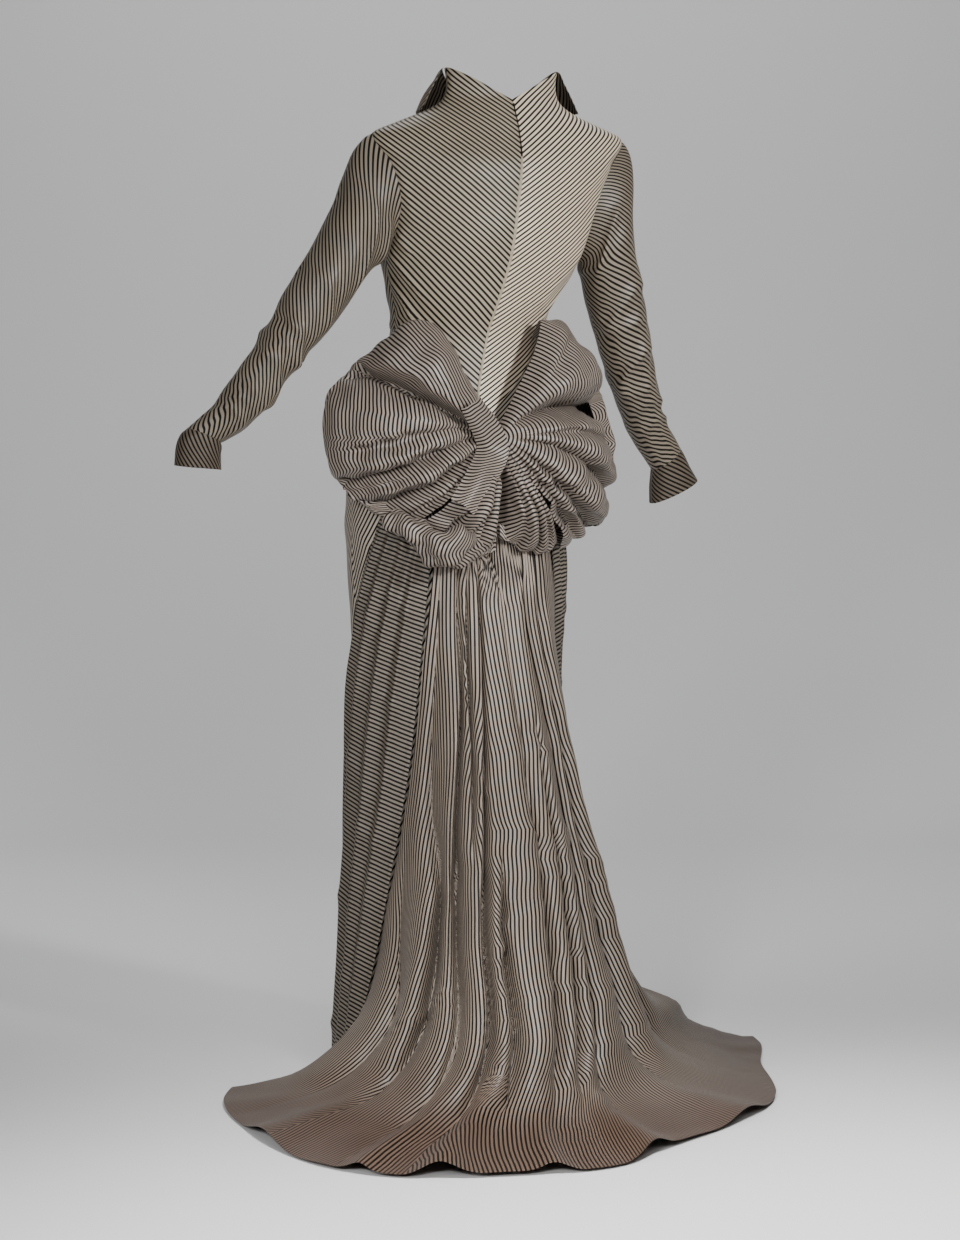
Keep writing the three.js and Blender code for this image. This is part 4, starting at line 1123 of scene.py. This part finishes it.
@dataclass
class SideDrape:
    """A drape down one side of the sheath, with lengthwise folds and a hemmed back edge."""

    # The drapes' silk is a finish painted darker: painted shade.
    silk: bpy.types.Material
    side: Side
    stripe_slope: float = 15.0      # degrees that the stripes fall towards the back edge
    columns: int = 100
    rows: int = 150

    def make(self) -> ClothPiece:
        """The drape. Each fold is a rounded ridge, and its top is a little sharper below."""
        u, v = grid(self.columns, self.rows)
        row = Table(DRAPE_NAMES, DRAPE_FALL[self.side]).at(v)
        swing = mix(row["front"], row["back"], u)
        wander = 0.012 * ripple(0 * u, v * 900, 420, 41 + self.side.value)
        ridge = sum(
            height * bell(u - across - wander, width, 1.7)
            for across, width, height in DRAPE_FOLDS
        )
        ridge_gain, valley_sink = 1.5, 0.25
        proud_share = smooth((u - 0.6) / 0.4)
        off = row["stand"] + row["proud"] * proud_share
        off = off + row["fold"] * (ridge_gain * ridge - valley_sink)
        hem = 1.0 * smooth((u - 0.955) / 0.01) + 0.9 * smooth((0.03 - u) / 0.01)
        turn = swing if self.side is Side.LEFT else 180 - swing
        points = FIGURE.point(turn, row["height"], off + hem)
        flip = self.side is Side.LEFT
        folds = creases(points, DRAPE_CREASES) + 0.8 * ripple(u * 200, v * 900, 120, 44)
        points = points + surface_normals(points, flip) * (folds * smooth(v / 0.05))[..., None]
        a, b = arc_across(points), arc_along(points)
        slope = math.radians(self.stripe_slope)
        s = b * math.cos(slope) - (a - a[:, -1:]) * math.sin(slope)
        return ClothPiece(
            f"drape_{self.side.word}_silk", f"drape_{self.side.word}", points, s, a, self.silk,
            "draped", ("skirt_front_silk", "skirt_back_silk"), flip,
        )


DRAPE_CREASES = [
    (0.3, 0.06, 0.7, 0.12, 9, 3.5, 6), (0.5, 0.16, 0.9, 0.22, 8, 3.0, -5),
    (0.2, 0.2, 0.55, 0.27, 9, 3.0, 5), (0.55, 0.34, 0.9, 0.38, 8, 2.5, 4),
    (0.15, 0.42, 0.5, 0.5, 10, 3.0, 6), (0.5, 0.56, 0.85, 0.6, 9, 2.5, -4),
    (0.2, 0.68, 0.6, 0.74, 10, 2.5, 5), (0.45, 0.82, 0.85, 0.86, 9, 2.5, 5),
    (0.1, 0.9, 0.5, 0.93, 9, 3.0, 4),
]


# ---------------------------------------------------------------- train
TRAIN_HEM = Table(
    "across turn reach slope",
    [
        (0, 1, 372, 12), (0.12, 30, 526, 8), (0.24, 50, 700, 0), (0.36, 60, 750, 0),
        (0.48, 71, 742, 0), (0.6, 83, 722, 0), (0.72, 98, 618, 4), (0.84, 124, 548, 16),
        (0.93, 156, 482, 30), (1, 182, 548, 36),
    ],
)
TRAIN_FALL = Table(
    "down height leave spread fold",
    [
        (0, 953, 0, 0, 2), (0.1, 890, 0.004, 0, 5), (0.2, 800, 0.015, 0.02, 8),
        (0.33, 680, 0.06, 0.07, 14), (0.46, 560, 0.12, 0.14, 22), (0.58, 440, 0.185, 0.22, 29),
        (0.68, 330, 0.25, 0.3, 35), (0.77, 215, 0.32, 0.4, 39), (0.84, 120, 0.4, 0.52, 38),
        (0.89, 52, 0.48, 0.68, 30), (0.93, 16, 0.6, 0.84, 19), (0.965, 6, 0.79, 0.95, 11),
        (1, 3, 1, 1, 7),
    ],
)
# Valleys between the train's panels, from its left edge to its right. Each is a track down the
# fall: its place across, its half width there and its depth, as a share of the folds' height.
# The ones marked as seams of the panels run all the way to the hem.
VALLEY_NAMES = "down across width depth"
PANEL_VALLEYS = [
    [
        (0.1, 0.034, 0.006, 0.8), (0.29, 0.04, 0.007, 0.9), (0.48, 0.05, 0.010, 1.0),
        (0.61, 0.07, 0.015, 1.2), (0.74, 0.125, 0.016, 1.3), (0.85, 0.16, 0.014, 1.2),
        (0.96, 0.17, 0.02, 0.3),
    ],
    [
        (0.05, 0.064, 0.005, 0.8), (0.29, 0.078, 0.006, 0.9), (0.48, 0.12, 0.008, 1.0),
        (0.61, 0.14, 0.010, 1.0), (0.74, 0.186, 0.015, 1.2), (0.85, 0.245, 0.014, 0.9),
        (0.96, 0.255, 0.02, 0.3),
    ],
    [
        (0.05, 0.155, 0.008, 0.9), (0.29, 0.24, 0.010, 1.0), (0.48, 0.25, 0.011, 1.1),
        (0.61, 0.258, 0.012, 1.0), (0.74, 0.275, 0.012, 1.1), (0.85, 0.345, 0.014, 1.2),
        (0.96, 0.36, 0.02, 0.3),
    ],
    [
        (0.04, 0.66, 0.010, 1.0), (0.29, 0.69, 0.011, 1.0), (0.48, 0.745, 0.012, 1.0),
        (0.61, 0.75, 0.014, 0.9), (0.74, 0.72, 0.016, 0.7), (0.85, 0.70, 0.02, 0.7),
        (0.96, 0.69, 0.03, 0.3),
    ],
    [
        (0.05, 0.82, 0.016, 0.9), (0.3, 0.84, 0.026, 1.1), (0.5, 0.85, 0.028, 1.1),
        (0.7, 0.84, 0.024, 1.0), (0.85, 0.82, 0.02, 0.9), (0.96, 0.81, 0.03, 0.3),
    ],
]
SHALLOW_VALLEYS = [
    [
        (0.05, 0.09, 0.005, 0.7), (0.29, 0.12, 0.006, 0.8), (0.48, 0.18, 0.008, 0.9),
        (0.58, 0.2, 0.008, 0.6), (0.66, 0.21, 0.008, 0.0),
    ],
    [
        (0.64, 0.33, 0.006, 0.0), (0.74, 0.355, 0.012, 0.9), (0.8, 0.39, 0.013, 1.2),
        (0.86, 0.43, 0.014, 1.1), (0.96, 0.45, 0.02, 0.2),
    ],
    [
        (0.05, 0.42, 0.012, 0.22), (0.3, 0.46, 0.014, 0.12), (0.5, 0.5, 0.016, 0.25),
        (0.7, 0.53, 0.018, 0.6), (0.85, 0.55, 0.02, 0.9), (0.96, 0.56, 0.03, 0.3),
    ],
    [
        (0.42, 0.6, 0.012, 0.0), (0.6, 0.62, 0.015, 0.5), (0.74, 0.635, 0.018, 0.8),
        (0.85, 0.63, 0.02, 0.9), (0.96, 0.62, 0.03, 0.3),
    ],
    [
        (0.5, 0.92, 0.012, 0.0), (0.7, 0.92, 0.016, 0.6), (0.85, 0.9, 0.02, 0.8),
        (0.96, 0.9, 0.03, 0.3),
    ],
    [
        (0.58, 0.025, 0.010, 0.0), (0.74, 0.05, 0.014, 0.8), (0.85, 0.08, 0.016, 1.0),
        (0.96, 0.09, 0.02, 0.3),
    ],
]


# Where the hem lifts off the floor: place across, half width there, and rise.
HEM_LIFTS = [
    (0.16, 0.025, 16), (0.29, 0.02, 12), (0.4, 0.028, 22), (0.53, 0.02, 13), (0.66, 0.03, 20),
    (0.8, 0.028, 15),
]
# Slack creases and puckers on the train's panels.
TRAIN_CREASES = [
    (0.33, 0.19, 0.52, 0.27, 5, -4.5, 3), (0.5, 0.47, 0.68, 0.5, 6, 5.0, -3),
    (0.44, 0.6, 0.54, 0.66, 8, 4.5, 4), (0.62, 0.6, 0.72, 0.64, 7, 4.0, 3),
    (0.3, 0.76, 0.4, 0.72, 8, 5.5, -4), (0.5, 0.8, 0.6, 0.77, 9, 6.0, 5),
    (0.72, 0.84, 0.8, 0.8, 9, 5.0, 4), (0.1, 0.84, 0.2, 0.8, 8, 5.0, 4),
    (0.22, 0.52, 0.3, 0.57, 6, 4.0, 2), (0.8, 0.66, 0.92, 0.7, 8, 5.0, 4),
    (0.36, 0.88, 0.46, 0.92, 10, 6.0, 5), (0.56, 0.89, 0.7, 0.93, 10, 5.5, -5),
]


@dataclass
class Train:
    """The gathered train, whose folds open out into a half round on the floor."""

    silk: bpy.types.Material
    columns: int = 400
    rows: int = 95
    first: float = 68.0
    last: float = 131.0
    seat: float = 1.9
    stand: float = 9.0
    edge_share: float = 0.1
    edge_turn: float = 1.6
    low: float = 40.0
    high: float = 200.0

    def edge(self, side: Side, height: Array) -> Array:
        """Where a side edge lies at a height: just behind that drape's back edge."""
        rows = [(r[1], *r[2:]) for r in DRAPE_FALL[side]]
        row = Table("height front back stand proud fold", rows).at(height)
        turn = row["back"] + self.edge_turn
        off = np.maximum(row["stand"] + row["proud"] - 2, self.seat)
        return FIGURE.point(turn if side is Side.LEFT else 180 - turn, height, off)

    def make(self) -> ClothPiece:
        """The train. Its folds are ridges out from the body above, and up from the floor below."""
        u, v = grid(self.columns, self.rows)
        row, end = TRAIN_FALL.at(v), TRAIN_HEM.at(u)
        middle = FIGURE.at(0.0)
        turn = mix(mix(self.first, self.last, u), end["turn"], row["spread"])
        stand = mix(self.seat, self.stand, smooth(v / 0.08))
        on_body = FIGURE.point(turn, np.maximum(row["height"], self.low), stand)
        near = np.hypot(on_body[..., 0] - middle["x"], on_body[..., 1] - middle["y"])
        fold = row["fold"] * self.relief(u, v)
        standing = smooth(row["height"] / 90)
        out = mix(near, end["reach"], row["leave"]) + fold * standing
        height = row["height"] + fold * 0.55 * (1 - standing)
        height = height + end["slope"] * np.sin(math.pi * row["leave"]) ** 2
        lift = sum(rise * bell(u - across, width) for across, width, rise in HEM_LIFTS)
        height = height + lift * smooth((v - 0.86) / 0.14)
        angle = np.radians(turn)
        free = stack(middle["x"] + out * np.cos(angle), middle["y"] + out * np.sin(angle), height)
        bound = smooth((row["height"] - self.low) / (self.high - self.low))
        left = (1 - smooth(u / self.edge_share)) * bound
        right = (1 - smooth((1 - u) / self.edge_share)) * bound
        points = mix(free, self.edge(Side.LEFT, row["height"]), left[..., None])
        points = mix(points, self.edge(Side.RIGHT, row["height"]), right[..., None])
        a, b = arc_across(points), arc_along(points)
        folds = 1.6 * ripple(a, b, 150, 53) + creases(points, TRAIN_CREASES)
        points = points + surface_normals(points, True) * (folds * smooth(v / 0.1))[..., None]
        points[..., 2] = np.maximum(points[..., 2], 2.0)
        return ClothPiece(
            "train_silk", "train", points, self.stripes(u, v, arc_across(points)), b,
            self.silk, "gathered", ("skirt_back_silk",), True,
        )

    def relief(self, u: Array, v: Array) -> Array:
        """Height of the folds as a share of their greatest.

        Flat panels stand at three quarters, a little rounded, and each valley takes off its
        depth times a pointed bell. Small even gathers show at the top and soon run out.

        Args:
            u: Share of the way across.
            v: Share of the way down.

        Returns:
            The share at each grid point.
        """
        total = 0.78 + 0.1 * np.sin(u * 31 + 1.4 * np.sin(v * 5)) * smooth(v / 0.3)
        for rows in PANEL_VALLEYS + SHALLOW_VALLEYS:
            track = Table(VALLEY_NAMES, rows).at(v)
            shown = smooth((v - rows[0][0] + 0.06) / 0.06)
            cut = bell(u - track["across"], track["width"], 1.25)
            total -= 1.25 * shown * track["depth"] * cut
        gathers = 0.5 * np.sin(u * 2 * math.pi * 34 + 2.2 * np.sin(u * 19))
        return total + gathers * (1 - smooth(v / 0.3))

    def stripes(self, u: Array, v: Array, a: Array) -> Array:
        """Place across the stripes at each square's corners.

        The cloth between two panels hides in the valley above and comes out of it below, so
        each square counts its stripes from the middle line of its own panel.

        Args:
            u: Share of the way across.
            v: Share of the way down.
            a: Arc across from the left edge.

        Returns:
            The places in millimetres.
        """
        tracks = [Table(VALLEY_NAMES, rows).at(v[:, 0])["across"] for rows in PANEL_VALLEYS]
        bounds = np.stack([0 * v[:, 0], *tracks, 0 * v[:, 0] + 1], axis=1)
        middles = (bounds[:, 1:] + bounds[:, :-1]) / 2
        centre = (u[:, :-1] + u[:, 1:]) / 2
        panel = (centre[..., None] > bounds[:, None, 1:-1]).sum(axis=-1)
        even = u[0]
        base = np.stack([np.interp(m, even, line) for m, line in zip(middles, a)])
        start = np.take_along_axis(base, panel, axis=1) - panel * 31 * STRIPE
        return squares(a[:, :-1] - start, a[:, 1:] - start)


# ---------------------------------------------------------------- bow
OUTLINES = {
    "bow_left": [
        (27, 192, 0.28), (38, 207, 0.62), (52, 219, 0.86), (66, 234, 0.95), (80, 243, 1),
        (94, 243, 1), (108, 233, 1), (122, 210, 0.96), (136, 178, 0.86),
    ],
    "bow_loop_left": [
        (137.2, 170, 0.7), (150, 176, 0.95), (162, 184, 1.05), (170, 185, 0.86), (179, 172, 0.1),
    ],
    "bow_right": [
        (27, 192, 0.28), (36, 209, 0.6), (48, 212, 0.84), (62, 218, 0.95), (78, 240, 1),
        (92, 258, 1), (106, 254, 1), (120, 248, 0.98), (134, 230, 0.92), (146, 202, 0.8),
    ],
    "bow_loop_right": [
        (147.2, 192, 0.72), (158, 190, 0.95), (168, 176, 0.86), (179, 150, 0.08),
    ],
}
# Creases of each fan: clock near the knot and at the rim, half width in degrees, depth, and
# the part of the section that it shows in. The first of each is its deepest.
CREASES = {
    "bow_left": [
        (74, 61, 3.6, 68, 0.04, 0.92), (82, 93, 2.0, 20, 0.05, 0.74),
        (94, 107, 3.2, 48, 0.08, 0.92), (114, 123, 3.6, 56, 0.1, 0.88),
        (100, 114, 1.6, 9, 0.5, 0.98), (60, 48, 2.4, 5, 0.4, 0.7),
        (126, 131, 2.0, 14, 0.3, 0.98),
    ],
    "bow_loop_left": [
        (158, 160, 3.0, 34, 0.05, 0.98), (146, 149, 2.0, 16, 0.3, 0.98),
        (170, 171, 2.4, 26, 0.05, 0.9), (153, 165, 1.6, 12, 0.45, 0.95),
    ],
    "bow_right": [
        (54, 76, 6.4, 96, 0.12, 0.9), (97, 107, 2.8, 44, 0.1, 0.92),
        (86, 90, 2.4, 24, 0.2, 0.86), (119, 130, 3.0, 44, 0.06, 0.96),
        (136, 140, 3.0, 40, 0.05, 0.96), (42, 44, 2.2, 9, 0.4, 0.8),
    ],
    "bow_loop_right": [
        (163, 160, 2.8, 32, 0.05, 0.98), (154, 152, 1.9, 16, 0.25, 0.95),
        (170, 171, 2.2, 22, 0.1, 0.98),
    ],
}


@dataclass
class Bow:
    """The bow at the hips: gathered fans of cloth that billow from one knot."""

    silk: bpy.types.Material
    rows: int = 110
    knot_x: float = 48.0
    knot_y: float = 89.0
    knot_height: float = 988.0
    part: float = 0.4
    seat: float = -0.5
    sag_at: float = 250.0
    sag_depth: float = 96.0
    sag_bend: float = 1.4
    ledge_from: float = 105.0
    ledge_to: float = 140.0
    ledge_off: float = 24.0
    swell_in: float = 0.5
    swell_out: float = 0.74
    draw: float = 0.3
    section: Table = Table(
        "along out off",
        [
            (0, 0.03, 24), (0.14, 0.19, 44), (0.3, 0.43, 80), (0.46, 0.7, 100),
            (0.6, 0.9, 80), (0.73, 1, 42), (0.85, 0.99, 16), (1, 0.86, 5),
        ],
    )

    def make(self, node: str, columns: int, seed: int) -> ClothPiece:
        """One fan.

        Each point lies on a line out from the knot at its clock. Its distance is the outline's
        reach times the section's share, and its depth the section's height times the puff.

        Args:
            node: The solid that it stands for.
            columns: Grid columns round the fan.
            seed: Number that fixes its small crumples.

        Returns:
            The piece.
        """
        side = 1 if node.endswith("left") else -1
        outline = Table("clock reach puff", OUTLINES[node])
        u, v = grid(columns, self.rows)
        clock = mix(outline.rows[0, 0], outline.rows[-1, 0], u)
        row, profile = outline.at(clock), self.section.at(v)
        bent = clock + 4.2 * ripple(clock * 4, v * 300, 260, seed) * smooth(v / 0.2)
        sunk = self.sunk(node, bent, v)
        filling = smooth(v / self.swell_in)
        closing = smooth((v - self.swell_out) / (1 - self.swell_out))
        swell = filling * (1 - closing)
        past_ledge = (clock - self.ledge_from) / (self.ledge_to - self.ledge_from)
        ledge = self.ledge_off * smooth(past_ledge)
        ledge = ledge * smooth((v - self.swell_in) / (self.swell_out - self.swell_in + 0.15))
        out = row["reach"] * profile["out"] - self.draw * sunk * swell
        off = profile["off"] * row["puff"] - sunk * swell * np.minimum(1, row["puff"]) + ledge
        aside = side * out * np.sin(np.radians(clock))
        sag = self.sag_depth * np.abs(aside / self.sag_at) ** self.sag_bend
        x = self.knot_x + side * self.part + aside
        height = self.knot_height + out * np.cos(np.radians(clock))
        y = np.maximum(self.knot_y - sag + off, FIGURE.depth(x, height, back=True) + self.seat)
        points = stack(x, y, height)
        flip = side < 0
        a, b = arc_across(points), arc_along(points)
        crumple = (4.6 * ripple(a, b, 130, seed + 1) + 2.0 * ripple(a, b, 54, seed + 2)) * swell
        points = points + surface_normals(points, flip) * crumple[..., None]
        return ClothPiece(
            node + "_silk", node, points, self.stripes(node, points, bent, v), a, self.silk,
            "gathered", ("bodice_back_left_silk", "bodice_back_right_silk"), flip,
        )

    def sunk(self, node: str, clock: Array, v: Array) -> Array:
        """Depth of the creases below the billows, in millimetres.

        Each crease bends from its first clock to its second. It is steep towards the top and
        runs out slowly below, as folds do that hang over one another. Fine gathers spread
        from the knot and run out before the crown.

        Args:
            node: The fan's node.
            clock: Degrees of the fan.
            v: Share of the section.

        Returns:
            The depth at each grid point.
        """
        total = np.zeros_like(v)
        for inner, rim, width, depth, start, stop in CREASES[node]:
            aside = clock - mix(inner, rim, smooth(v / 0.7))
            shown = smooth((v - start + 0.1) / 0.16) * smooth((stop - v) / 0.18)
            total += depth * shown * bell(aside, np.where(aside > 0, 2.3, 0.8) * width, 1.4)
        gathers = 3.0 * (1 + np.sin(clock * 0.95 + 1.5 * np.sin(clock * 0.21)))
        return total + gathers * smooth(v / 0.06) * (1 - smooth((v - 0.08) / 0.2))

    def stripes(self, node: str, points: Array, clock: Array, v: Array) -> Array:
        """Place across the stripes at each square's corners.

        The stripes run round the knot, so the place across them is the arc out from it. In
        the left half's top billow the cloth is turned and they run out from the knot.
        """
        a, b = arc_across(points), arc_along(points)
        ringed, outward = squares(b[:, :-1], b[:, 1:]), squares(a[:, :-1], a[:, 1:])
        if node != "bow_left":
            return ringed
        inner, rim = CREASES[node][0][:2]
        turned = clock < mix(inner, rim, smooth(v / 0.7))
        return np.where(turned[:-1, :-1, None], outward, ringed)


# ---------------------------------------------------------------- details
@dataclass
class Details:
    """What is sewn on: the back seam's welt and placket, and the bow's band and roll."""

    body_silk: bpy.types.Material
    bow_silk: bpy.types.Material
    facing: tuple[float, float, float] = (0.3, 0.95, 0.08)
    band_line: Table = Table(
        "down x y height wide",
        [
            (0, 116, 160, 1040, 34), (0.4, 66, 132, 974, 48), (0.7, 100, 158, 925, 46),
            (1, 131, 164, 886, 42),
        ],
    )
    roll_line: Table = Table(
        "down x y height wide",
        [
            (0, 212, 84, 872, 16), (0.35, 176, 122, 838, 25), (0.65, 132, 142, 822, 28),
            (1, 60, 118, 848, 9),
        ],
    )

    def seam_strip(
        self, name: str, top: float, foot: float, wide: float, tone: float
    ) -> ClothPiece:
        """A raised strip down the centre back seam.

        Args:
            name: The strip's name.
            top: Height of its top.
            foot: Height of its foot.
            wide: Width in millimetres.
            tone: 0 for a strip cut from a light stripe and 0.5 for one cut from a dark one.

        Returns:
            The piece.
        """
        u, v = grid(4, 120)
        height = mix(top, foot, v)
        section = FIGURE.at(height)
        turn = 90 - section["seam"] + np.degrees((u - 0.5) * wide / section["half"])
        points = FIGURE.point(turn, height, 1.0 + 1.1 * np.sin(math.pi * u))
        return ClothPiece(
            name, None, points, 0 * u + STRIPE * tone, height, self.body_silk, "folded",
            ("bodice_back_left_silk", "bodice_back_right_silk"), True, thickness=1.8, trim=True,
        )

    def frame(self, line: Table, v: Array) -> tuple[dict[str, Array], Array, Array, Array]:
        """A line's sizes and points, and the ways out of the gown and across the line."""
        row = line.at(v)
        centre = stack(row["x"], row["y"], row["height"])
        way = np.gradient(centre, axis=0)
        way /= np.linalg.norm(way, axis=2, keepdims=True)
        out = np.broadcast_to(np.array(self.facing), centre.shape)
        out = out - way * (out * way).sum(axis=2, keepdims=True)
        out = out / np.linalg.norm(out, axis=2, keepdims=True)
        return row, centre, out, np.cross(way, out)

    def band(self) -> ClothPiece:
        """The smooth band that hangs over the left half's gathers."""
        u, v = grid(24, 50)
        row, centre, out, across = self.frame(self.band_line, v)
        rise = 7 * np.sin(math.pi * u) + 1.5 * np.sin(u * 9 + v * 4)
        points = centre + across * ((u - 0.5) * row["wide"])[..., None] + out * rise[..., None]
        a, b = arc_across(points), arc_along(points)
        return ClothPiece(
            "bow_band", None, points, b, a, self.bow_silk, "draped", ("bow_left_silk",),
        )

    def roll(self) -> ClothPiece:
        """The crumpled roll of cloth under the left half."""
        u, v = grid(56, 80)
        row, centre, out, across = self.frame(self.roll_line, v)
        clock = 2 * math.pi * u
        bent = 1 + 0.24 * np.sin(2 * clock + 5 * v) + 0.2 * np.sin(clock + 13 * v)
        bent = bent + 0.13 * np.sin(3 * clock - 23 * v) + 0.06 * np.sin(5 * clock + 37 * v)
        radius = (row["wide"] * bent)[..., None]
        points = centre + out * radius * np.cos(clock)[..., None]
        points = points + across * radius * np.sin(clock)[..., None]
        a, b = arc_across(points), arc_along(points)
        return ClothPiece(
            "bow_roll", None, points, b + 0.5 * row["wide"] * np.cos(clock), a, self.bow_silk,
            "gathered", ("bow_left_silk", "bow_loop_left_silk"), ring=True,
        )

    def make(self) -> list[ClothPiece]:
        """Every detail."""
        return [
            self.seam_strip("back_welt", 1408.0, 1016.0, 3.4, 0.0),
            self.seam_strip("back_placket", 1490.0, 1408.0, 3.0, 0.5),
            self.band(),
            self.roll(),
        ]


# ---------------------------------------------------------------- studio
@dataclass
class Studio:
    """The pale floor and wall, three softboxes, three soft-edged beams and the camera."""

    azimuth: float = 25.0
    distance: float = 5500.0
    eye_height: float = 1100.0
    axis_x: float = 58.0
    axis_y: float = -29.0
    focal_px: float = 3574.0
    image_height: float = 1240.0
    aside_px: float = 28.0
    pitch: float = 4.13
    sensor: float = 36.0
    beam_softness: float = 0.3
    air_colour: tuple[float, float, float, float] = (0.9, 0.92, 0.95, 1)
    air_strength: float = 0.05

    def sweep(self) -> bpy.types.Object:
        """Floor and wall in one sheet: level, then a quarter round, then upright."""
        u, v = grid(2, 60)
        radius, start, wide, front = 1500.0, -2600.0, 9000.0, 8000.0
        bend = clamp01((v - 0.4) / 0.3) * math.pi / 2
        run = np.where(v < 0.4, mix(front, start, v / 0.4), start - radius * np.sin(bend))
        rise = radius * (1 - np.cos(bend)) + clamp01((v - 0.7) / 0.3) * 4000
        local = stack(mix(-wide, wide, u), run, rise)
        turn = math.radians(-self.azimuth)
        points = local.copy()
        points[..., 0] = local[..., 0] * math.cos(turn) - local[..., 1] * math.sin(turn)
        points[..., 1] = local[..., 0] * math.sin(turn) + local[..., 1] * math.cos(turn)
        index = np.arange(u.size).reshape(u.shape)
        quads = np.stack(
            [index[:-1, :-1], index[:-1, 1:], index[1:, 1:], index[1:, :-1]], axis=-1
        ).reshape(-1, 4)[:, ::-1]
        obj = make_mesh("studio_sweep", points.reshape(-1, 3), quads, np.zeros((len(quads), 4, 2)))
        obj.data.materials.append(paint_material(StudioPaint("studio_paint", "d9d9d9")))
        obj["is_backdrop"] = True
        return obj

    def light(
        self, name: str, place: tuple[float, float, float], aim: tuple[float, float, float],
        size: float, watts: float,
    ) -> None:
        """A square softbox at a place in metres above the floor, turned to its aim."""
        lamp = bpy.data.lights.new(name, "AREA")
        lamp.shape, lamp.size, lamp.energy = "SQUARE", size, watts
        self.hang(lamp, place, aim)

    def hang(
        self, lamp: bpy.types.Light, place: tuple[float, float, float],
        aim: tuple[float, float, float],
    ) -> None:
        """Hangs a lamp at a place in metres above the floor and turns it to its aim."""
        obj = bpy.data.objects.new(lamp.name, lamp)
        low = Vector((0, 0, ORIGIN_HEIGHT / 1000))
        start, end = Vector(place) - low, Vector(aim) - low
        way = (end - start).to_track_quat("-Z", "Y")
        obj.matrix_world = Matrix.Translation(start) @ way.to_matrix().to_4x4()
        bpy.context.scene.collection.objects.link(obj)

    def spot(
        self, name: str, place: tuple[float, float, float], aim: tuple[float, float, float],
        degrees: float, watts: float,
    ) -> None:
        """A soft-edged beam at a place in metres above the floor, turned to its aim."""
        lamp = bpy.data.lights.new(name, "SPOT")
        lamp.spot_size, lamp.spot_blend = math.radians(degrees), 1.0
        lamp.shadow_soft_size, lamp.energy = self.beam_softness, watts
        self.hang(lamp, place, aim)

    def lights(self) -> None:
        """Weak fill and side light, beams on back, train and floor, and a light on the wall."""
        self.light("fill_softbox", (1.7, 4.8, 2.6), (0.05, 0.1, 1.0), 1.2, 66)
        self.light("side_softbox", (3.6, 1.4, 1.5), (0.1, 0.0, 0.6), 0.9, 38)
        self.spot("back_beam", (-1.3, 4.5, 2.4), (-0.1, 0.15, 1.12), 19.0, 1200)
        self.spot("train_beam", (2.9, 3.9, 2.0), (0.1, 0.4, 0.45), 25.0, 640)
        self.spot("floor_beam", (0.25, 2.1, 3.4), (0.25, 1.6, 0.0), 58.0, 1150)
        self.light("wall_softbox", (-0.5, -1.1, 3.4), (-1.2, -2.6, 1.1), 2.4, 88)
        world = bpy.data.worlds.new("studio_air")
        world.use_nodes = True
        background = world.node_tree.nodes["Background"]
        background.inputs[0].default_value = self.air_colour
        background.inputs[1].default_value = self.air_strength
        bpy.context.scene.world = world

    def camera(self) -> None:
        """The camera: a yaw keeps the gown a little left of the middle, a pitch looks down."""
        azimuth, pitch = math.radians(self.azimuth), math.radians(self.pitch)
        yaw = math.atan(self.aside_px / self.focal_px)
        back = Vector((math.sin(azimuth), math.cos(azimuth), 0))
        right = Vector((-math.cos(azimuth), math.sin(azimuth), 0))
        level = -back * math.cos(yaw) + right * math.sin(yaw)
        way = level * math.cos(pitch) + Vector((0, 0, -1)) * math.sin(pitch)
        side = way.cross(Vector((0, 0, 1))).normalized()
        top = side.cross(way)
        place = Vector((self.axis_x, self.axis_y, self.eye_height - ORIGIN_HEIGHT))
        place = (place + back * self.distance) / 1000
        data = bpy.data.cameras.new("camera")
        data.sensor_width = self.sensor
        data.lens = self.focal_px * self.sensor / self.image_height
        obj = bpy.data.objects.new("camera", data)
        turn = Matrix((side, top, -way)).transposed().to_4x4()
        obj.matrix_world = Matrix.Translation(place) @ turn
        bpy.context.scene.collection.objects.link(obj)
        bpy.context.scene.camera = obj


def main() -> None:
    """Builds the gown piece by piece, then the studio round it."""
    logging.basicConfig(level=logging.INFO, format="%(message)s")
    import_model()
    cad_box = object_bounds()
    body, back, arm, wrist = map(taffeta_material, (BODY_SILK, BACK_SILK_PAINTED_SHEEN, SLEEVE_SILK_PAINTED_SHADE, CUFF_SILK_PAINTED_SHADE))
    bow, skirt = taffeta_material(BOW_SILK), taffeta_material(SKIRT_SILK)
    drape, train = taffeta_material(DRAPE_SILK_PAINTED_SHADE), taffeta_material(TRAIN_SILK_PAINTED_SHADE)
    # The collar wings take the sleeves' silk, painted darker as painted shade.
    bodice, collar, sheath, knot = Bodice(body, back), Collar(arm), Sheath(skirt), Bow(bow)
    pieces = [bodice.front(), sheath.make(back=False), sheath.make(back=True)]
    for side in Side:
        sleeve = Sleeve(arm, wrist, side)
        pieces += [bodice.back(side), collar.make(side), sleeve.sleeve(), sleeve.cuff()]
        pieces.append(SideDrape(drape, side).make())
    pieces.append(Train(train).make())
    pieces += [knot.make("bow_left", 220, 61), knot.make("bow_right", 220, 63)]
    pieces += [knot.make("bow_loop_left", 80, 65), knot.make("bow_loop_right", 80, 67)]
    pieces += Details(body, bow).make()
    for piece in pieces:
        obj = piece.build()
        log.info("%s: %d faces", obj.name, len(obj.data.polygons))
    studio = Studio()
    studio.sweep()
    studio.lights()
    studio.camera()
    boxes = {"cad": cad_box, "visual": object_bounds()}
    {k: [[float(x) for x in c] for c in box] for k, box in boxes.items()}


if __name__ == "__main__":
    main()
